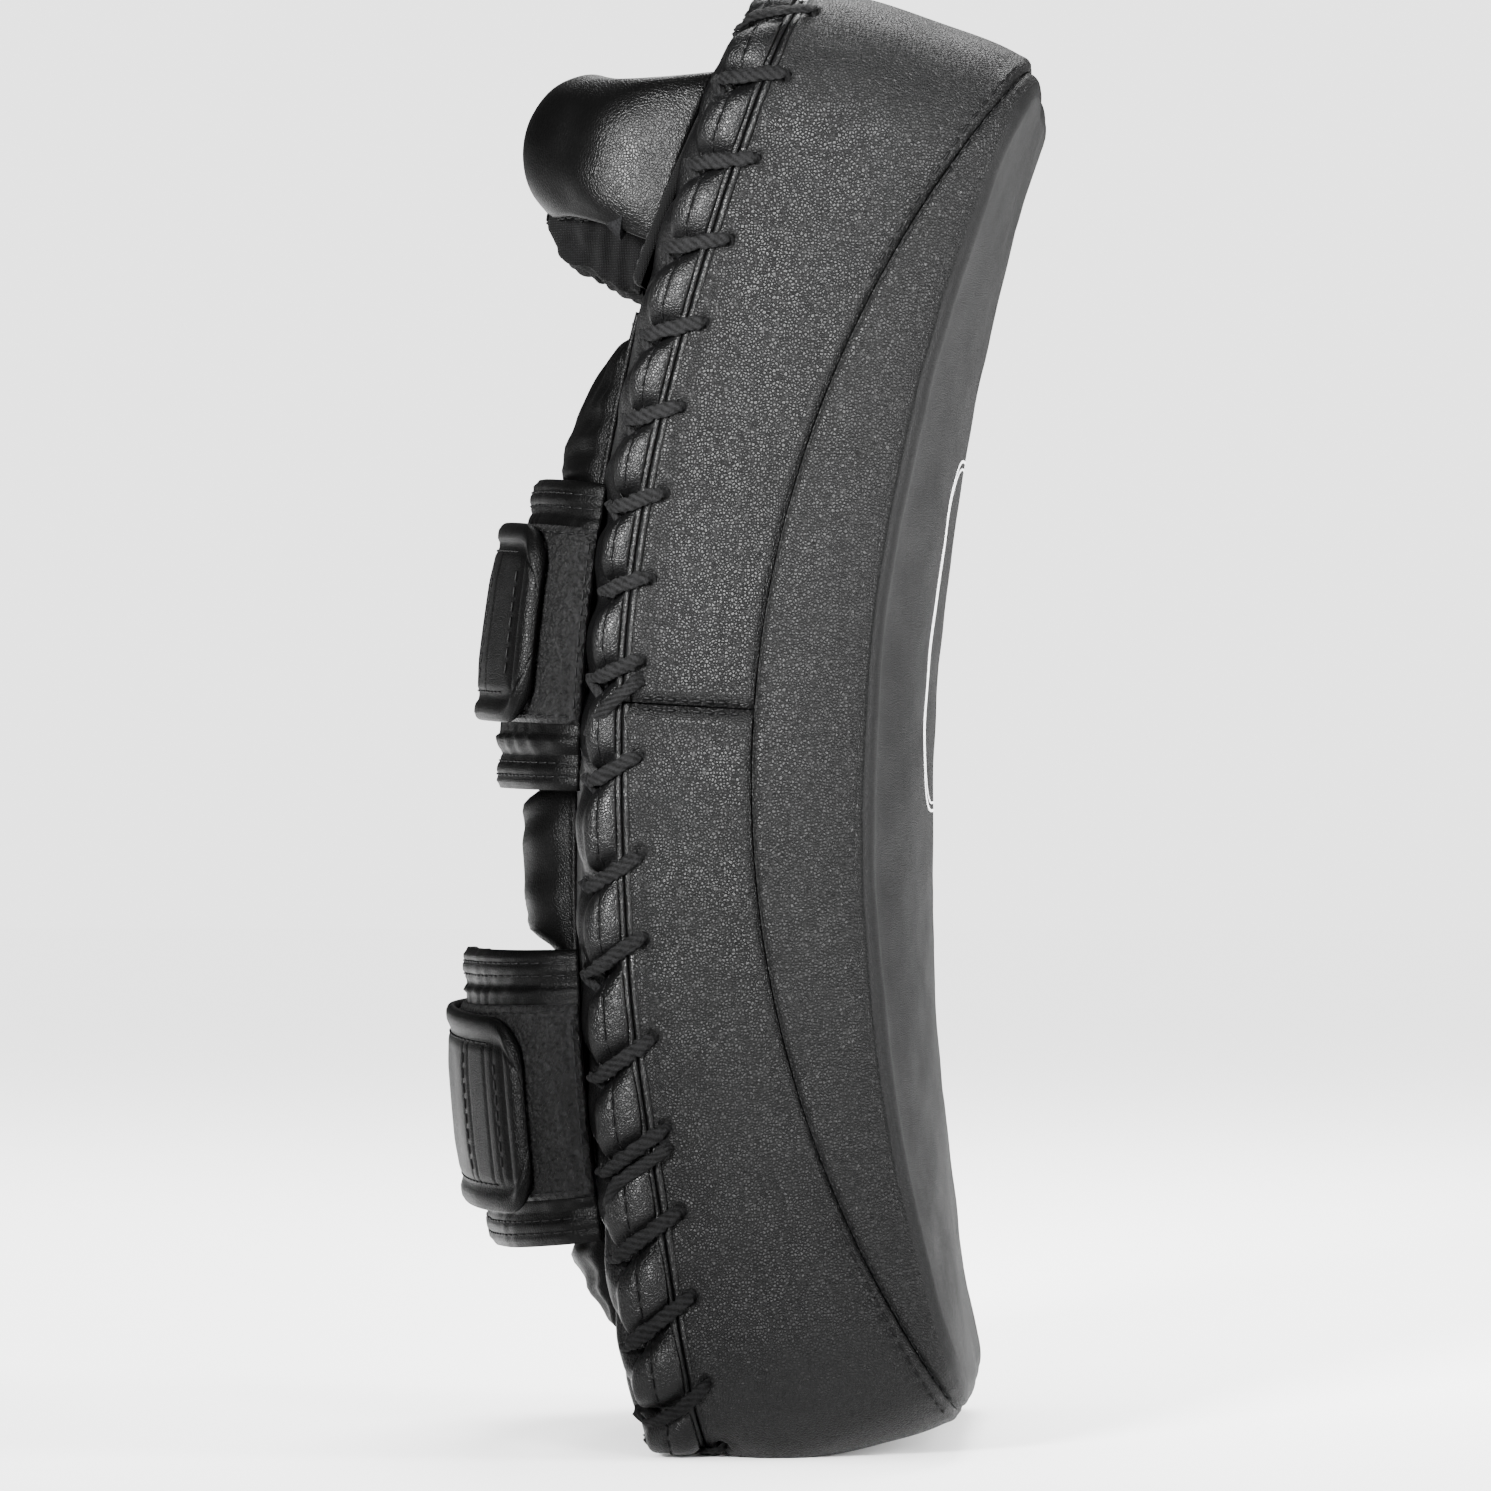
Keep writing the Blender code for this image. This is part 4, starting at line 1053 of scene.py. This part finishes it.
def cuff_band(side, cuff):
    """Padded leather band with two stitched hems, its lining, and the loop tape on top."""
    s0, s1 = cuff["s"] - cuff["w"] / 2, cuff["s"] + cuff["w"] / 2
    turn, length = even_turns(cuff, 1.5, 100, 120)
    run = np.linspace(0, length, 120)[:, None]
    turn = turn[:, None]
    far = length - run
    cut = corner_cut(far)
    edge = (0.5 - np.abs(np.linspace(-0.5, 0.5, 92)))[None, :] * (s1 - s0 - 2 * cut)
    s = (s0 + s1) / 2 + np.linspace(-0.5, 0.5, 92)[None, :] * (s1 - s0 - 2 * cut)
    grid = arch_at(cuff, turn, 0.0, s)
    n = outward(grid, BEHIND)
    hem, rows = 0.0085, (0.0030, 0.0066)            # the hem's width, and its two stitched lines
    puff = smooth((edge - hem) / 0.008) * smooth(far / 0.012)
    under = 1 - smooth((np.abs(s - cuff["ts"]) - cuff["tw"] / 2 - 0.001) / 0.004)
    h = -0.0013 + 0.0014 * smooth(edge / 0.0022) - 0.0012 * bump(edge - hem, 0.0012)
    for x in rows:
        h = h - 0.0007 * bump(edge - x, 0.0006)
    h = h + 0.0022 * puff * (1 - under)
    folds = np.sin(TAU * (run + 0.25 * s) / 0.0125 + 2.5 * ripple(grid, 71, 0.04))
    h = h + 0.0005 * folds * bump(edge - 0.0135, 0.0050) + 0.00012 * folds * bump(edge - 0.004, 0.004)
    h = h + 0.0004 * ripple(grid, 72, 0.035) * (1 - under * 0.6)
    h = np.where(under > 0.5, np.minimum(h, 0.0), h)
    grid = grid + n * h[..., None]
    b = Builder()
    b.shell(grid, n, 0.0018, "strap")
    for x in rows:
        j = int(np.argmin(np.abs(edge[0, :46] - x)))
        for jj in (j, grid.shape[1] - 1 - j):
            b.stitches(grid[:, jj], n[:, jj])
    b.stitches(grid[-4, 6:-6], n[-4, 6:-6])
    b.piece(f"{side}_cuff_leather", "pad", [f"{side}_band_leather"])

    b = Builder()
    turn, length = even_turns(cuff, 19, 100, 90)
    far = (length * (1 - np.linspace(0, 1, 90)))[:, None]
    turn = turn[:, None]
    cut = corner_cut(far) + 0.0006
    s = (s0 + s1) / 2 + np.linspace(-0.5, 0.5, 64)[None, :] * (s1 - s0 - 2 * cut)
    grid = arch_at(cuff, turn, -0.0066, s)
    n = -outward(grid, BEHIND)
    quilt = np.abs(np.sin(math.pi * (s - s0) / 0.0125)) ** 0.6
    h = 0.0005 * quilt + 0.0003 * ripple(grid, 74, 0.02)
    b.shell(grid + n * h[..., None], n, 0.0014, "web")
    b.piece(f"{side}_cuff_lining", "pad", [f"{side}_band_lining"])

    b = Builder()
    t0, t1 = cuff["ts"] - cuff["tw"] / 2, cuff["ts"] + cuff["tw"] / 2
    turn, length = even_turns(cuff, 2.0, 93, 220)
    run = np.linspace(0, length, 220)[:, None]
    s = np.linspace(t0, t1, 110)[None, :]
    grid = arch_at(cuff, turn[:, None], 0.0018, s)
    n = outward(grid, BEHIND)
    edge = nearest(s - t0, t1 - s, run, length - run)
    rng = np.random.default_rng(81)
    pile = rng.normal(0, 1, grid.shape[:2]) * smooth((edge - 0.0028) / 0.0006)
    h = 0.00015 * pile + 0.0004 * smooth((edge - 0.0028) / 0.001)
    h -= 0.0008 * (1 - smooth(edge / 0.0010))
    b.shell(grid + n * h[..., None], n, 0.0012, "loop")
    b.edge_stitches(grid.transpose(1, 0, 2), n.transpose(1, 0, 2), 4, 3, 4, rise=0.0003)
    b.piece(f"{side}_loop_tape", "pad", [f"{side}_loop_patch"])


STRAP_ACROSS, STRAP_ROUND = 44, 9       # points over a strap's face, and round its border
STRAP_MID = 0.0055                      # middle of a strap's thickness, over the band's leather


def strap_rings(cuff, turn, run, s0, s1, low, high, relief, tip):
    """Closed rings: even points over both faces, half-round borders."""
    a = np.linspace(-1, 1, STRAP_ACROSS)
    t = np.linspace(-math.pi / 2, math.pi / 2, STRAP_ROUND + 2)[1:-1]
    r = (high - low) / 2
    centre = (low + high) / 2
    half = (s1 - s0)[:, None] / 2
    mid = (s0 + s1)[:, None] / 2
    flat = half - r
    top_s, side_hi, side_lo = mid + flat * a, mid + flat + r * np.cos(t), mid - flat - r * np.cos(t[::-1])
    slim = tip[:, None]
    border = half - np.abs(top_s - mid)
    face = relief(run[:, None], np.minimum(border, run[:, None]), border) * slim
    up = np.concatenate([r * slim + face, -r * slim * np.sin(t), -r * slim + 0 * face,
                         r * slim * np.sin(t)], 1)
    ss = np.concatenate([top_s, side_hi, top_s[:, ::-1], side_lo], 1)
    return arch_at(cuff, turn[:, None], centre + up, ss)


def closure(side, cuff):
    """Tab and strap: one padded leather strap, in two parts, shaped round the cuff from the tab's tip
    over the fold and down to its sewn root.
    """
    t0, t1 = cuff["ts"] - cuff["tw"] / 2, cuff["ts"] + cuff["tw"] / 2
    upper = side == "upper"

    def width(turn):
        deg = np.degrees(turn)
        f = np.clip((80.0 - deg) / 56.0, 0, None)
        g = np.clip((deg - 120.0) / 52.0, 0, None)
        shift = -cuff["skew"] * 0.02 * f
        return t0 + shift - 0.010 * g, t1 + shift + 0.010 * g

    def face(run, edge, border):
        """Thick rolled tip, flat stitched borders, and shallow pressed lines across the tab."""
        h = 0.0010 * bump(run - 0.0030, 0.0024) - 0.0008 * bump(edge - 0.0066, 0.0010)
        h = h - 0.0006 * bump(border - 0.0052, 0.0007) + 0.0003 * bump(border - 0.0026, 0.0018)
        for x in (0.030,) if upper else (0.011, 0.016, 0.028, 0.033):
            h = h - 0.0004 * bump(run - x, 0.0008 if upper else 0.0007) * smooth((border - 0.006) / 0.002)
        puff = smooth((edge - 0.007) / 0.009)
        return h + 0.0003 * puff * np.sin(TAU * run / 0.031 + 1.0) + 0.0003 * puff

    low_off, high_off = (0.0036, 0.0074) if upper else (0.0027, 0.0057)

    def strap(part, rings, start, inset, rows, bend, nodes):
        """One part of the strap. bend: two turns, near the fold or the root, where points on the strap's
        middle are worked out and not used.
        """
        b = Builder()
        b.tube(rings, "strap")
        middle = STRAP_ACROSS // 2
        up = unit(rings[:, middle] - rings[:, middle + STRAP_ACROSS + STRAP_ROUND])
        for j in (5, STRAP_ACROSS - 6):
            b.stitches(rings[start:, j], up[start:])
        for i in rows:
            row = rings[i, inset:STRAP_ACROSS - inset]
            b.stitches(row, np.repeat(up[i][None], len(row), 0))
        obj = b.build(f"{side}_closure_{part}")
        near, far = (tuple(arch_at(cuff, turn, STRAP_MID, cuff["ts"])) for turn in bend)
        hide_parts(*nodes)
        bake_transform(obj)

    # outer part, over the tab fold, with a rounded tip
    tip, split, corner = 23.2, 126.0, 0.0120
    turn, length = even_turns(cuff, tip, split, 170)
    run = np.linspace(0, length, 170)
    s0, s1 = width(turn)
    cut = corner * (1 - quarter(run, corner))
    slim = quarter(run, 0.0020, 0.03)
    rings = strap_rings(cuff, turn, run, s0 + cut, s1 - cut, low_off, high_off, face, slim)
    fold, root = math.radians(84.0), math.radians(172.0)
    strap("tab", rings, 14, 6, (13, 60 if upper else 40), (fold - 0.30, fold + 0.02),
          (f"{side}_tab", f"{side}_strap"))

    # inner part, down to the sewn root
    turn, length = even_turns(cuff, split, 175.5, 90)
    run = np.linspace(0, length, 90)
    s0, s1 = width(turn)
    low = (low_off - (low_off - 0.0006) * smooth((np.degrees(turn) - 164) / 10))[:, None]
    rings = strap_rings(cuff, turn, run + 0.05, s0, s1, low, low + high_off - low_off, face, np.ones(90))
    strap("root", rings, 0, 4, (76, 83), (root - 0.16, root + 0.02),
          (f"{side}_strap_root",))

    b = Builder()
    turn, length = even_turns(cuff, 29, 76, 120)
    s0, s1 = width(turn)
    s = (s0 + 0.004)[:, None] + (s1 - s0 - 0.008)[:, None] * np.linspace(0, 1, 70)[None, :]
    grid = arch_at(cuff, turn[:, None], low_off - 0.0014, s)
    n = -outward(grid, BEHIND)
    hooks = 0.00025 * np.random.default_rng(82).random(grid.shape[:2])
    b.shell(grid + n * (hooks - 0.0002)[..., None], n, 0.0013, "hook")
    b.piece(f"{side}_hook_tape", f"{side}_tab_body", [f"{side}_hook_patch"])


# ------------------------------------------------------------------ generic mark on the strike face
MARK_S = 0.0300         # middle of the printed mark


def face_mark():
    """A plain double-line rounded outline, printed on the strike face."""
    b = Builder()
    q = np.linspace(0, TAU, 361)[:-1]
    for half_y, half_s, line in ((0.0400, 0.0520, 0.0008), (0.0376, 0.0496, 0.0006)):
        c, e = np.cos(q), np.sin(q)
        shape = (np.abs(c) ** 5 + np.abs(e) ** 5) ** (-1 / 5)
        y, s = half_y * c * shape, half_s * e * shape + MARK_S
        inner_y, inner_s = y * (1 - line / half_y), (s - MARK_S) * (1 - line / half_s) + MARK_S
        t = np.linspace(0, 1, 4)[None, :]
        yy = y[:, None] + (inner_y - y)[:, None] * t
        ss = s[:, None] + (inner_s - s)[:, None] * t
        grid = place(yy, ss, face_depth(yy, ss) - 0.00005)
        base = place(yy, ss, face_depth(yy, ss))
        n = outward(grid, (-0.1, 0, 0.2), closed=True)
        h = 0.00035 * ripple(base, 11, 0.075) + 0.00012 * ripple(base, 12, 0.022)
        b.shell(grid + n * (h + 0.00012)[..., None], n, 0.0003, "ink", closed=True)
    b.piece("face_print", "pad", [])


# ------------------------------------------------------------------ stage, lights, camera
SKY, SKY_GLOSS = 2.9, 0.14      # strength of the surroundings, and of their reflections
FLOOR_HALF = 6.0


def studio():
    world = bpy.data.worlds.new("studio")
    bpy.context.scene.world = world
    world.use_nodes = True
    tree = world.node_tree
    back = tree.nodes["Background"]
    back.inputs["Color"].default_value = (1.0, 1.0, 1.0, 1)
    path = tree.nodes.new("ShaderNodeLightPath")
    gloss = tree.nodes.new("ShaderNodeMapRange")
    gloss.inputs["To Min"].default_value, gloss.inputs["To Max"].default_value = SKY, SKY_GLOSS
    tree.links.new(path.outputs["Is Glossy Ray"], gloss.inputs["Value"])
    tree.links.new(gloss.outputs["Result"], back.inputs["Strength"])
    mesh = bpy.data.meshes.new("floor")
    corners = [(x * FLOOR_HALF, y * FLOOR_HALF, 0) for x, y in ((-1, -1), (1, -1), (1, 1), (-1, 1))]
    mesh.from_pydata(corners, [], [(0, 1, 2, 3)])
    floor = bpy.data.objects.new("floor", mesh)
    bpy.context.collection.objects.link(floor)
    g = Graph("floor_paper", grey(0.97), 1.0, Specular_IOR_Level=0.0)
    g.tint(g.noise(g.space(), 4.0, 2.0), grey(0.968), grey(0.975))
    mesh.materials.append(g.mat)

    def softbox(name, where, at, size, power, spread=180.0):
        light = bpy.data.lights.new(name, "AREA")
        light.shape, light.size, light.size_y = "RECTANGLE", size[0], size[1]
        light.energy = power
        light.spread = math.radians(spread)
        obj = bpy.data.objects.new(name, light)
        obj.location = where
        look = [b - a for a, b in zip(where, at)]
        obj.rotation_euler = Vector(look).to_track_quat("-Z", "Y").to_euler()
        bpy.context.collection.objects.link(obj)

    middle = (0.0, 0.0, 0.2)
    softbox("key", (-0.34, -0.95, 0.40), (0.0, -0.1, 0.29), (0.20, 0.30), 8.0, 36.0)
    softbox("lens", (0.42, -0.95, 0.42), (0.03, -0.1, 0.27), (0.20, 0.30), 1.4, 42.0)
    softbox("strike_side", (1.7, -0.35, 0.35), middle, (0.5, 1.3), 26, 90.0)
    softbox("behind", (0.10, 0.95, 1.60), middle, (0.8, 0.8), 60)

    camera = bpy.data.objects.new("camera", bpy.data.cameras.new("camera"))
    bpy.context.collection.objects.link(camera)
    azimuth, distance, target = math.radians(3.0), 2.2, (0.001, 0.0, 0.193)
    camera.location = (target[0] + distance * math.sin(azimuth), -distance * math.cos(azimuth), target[2])
    camera.rotation_euler = (math.pi / 2, 0, azimuth)
    camera.data.lens, camera.data.sensor_width = 188.8, 36.0
    camera.data.clip_end = 30.0
    bpy.context.scene.camera = camera


studio()
face_panel()
far_side = PERIMETER / 2 - MID_SEAM
side_panel("side_upper_panel", "gusset_upper", MID_SEAM + 0.0002, far_side - 0.0002)
side_panel("side_lower_panel", "gusset_lower", far_side + 0.0002, PERIMETER + MID_SEAM - 0.0002)
rear_panel()
lace()
arm_cushion()
handle()
for label, values in CUFFS.items():
    cuff_band(label, values)
    closure(label, values)
face_mark()
for node in ("foam_strike", "foam_core", "foam_back", "arm_pad_foam", "handle_core",
             "upper_band_foam", "lower_band_foam"):
    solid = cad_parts[node]
    solid.data.materials.clear()
    solid.data.materials.append(MATERIALS["foam"])
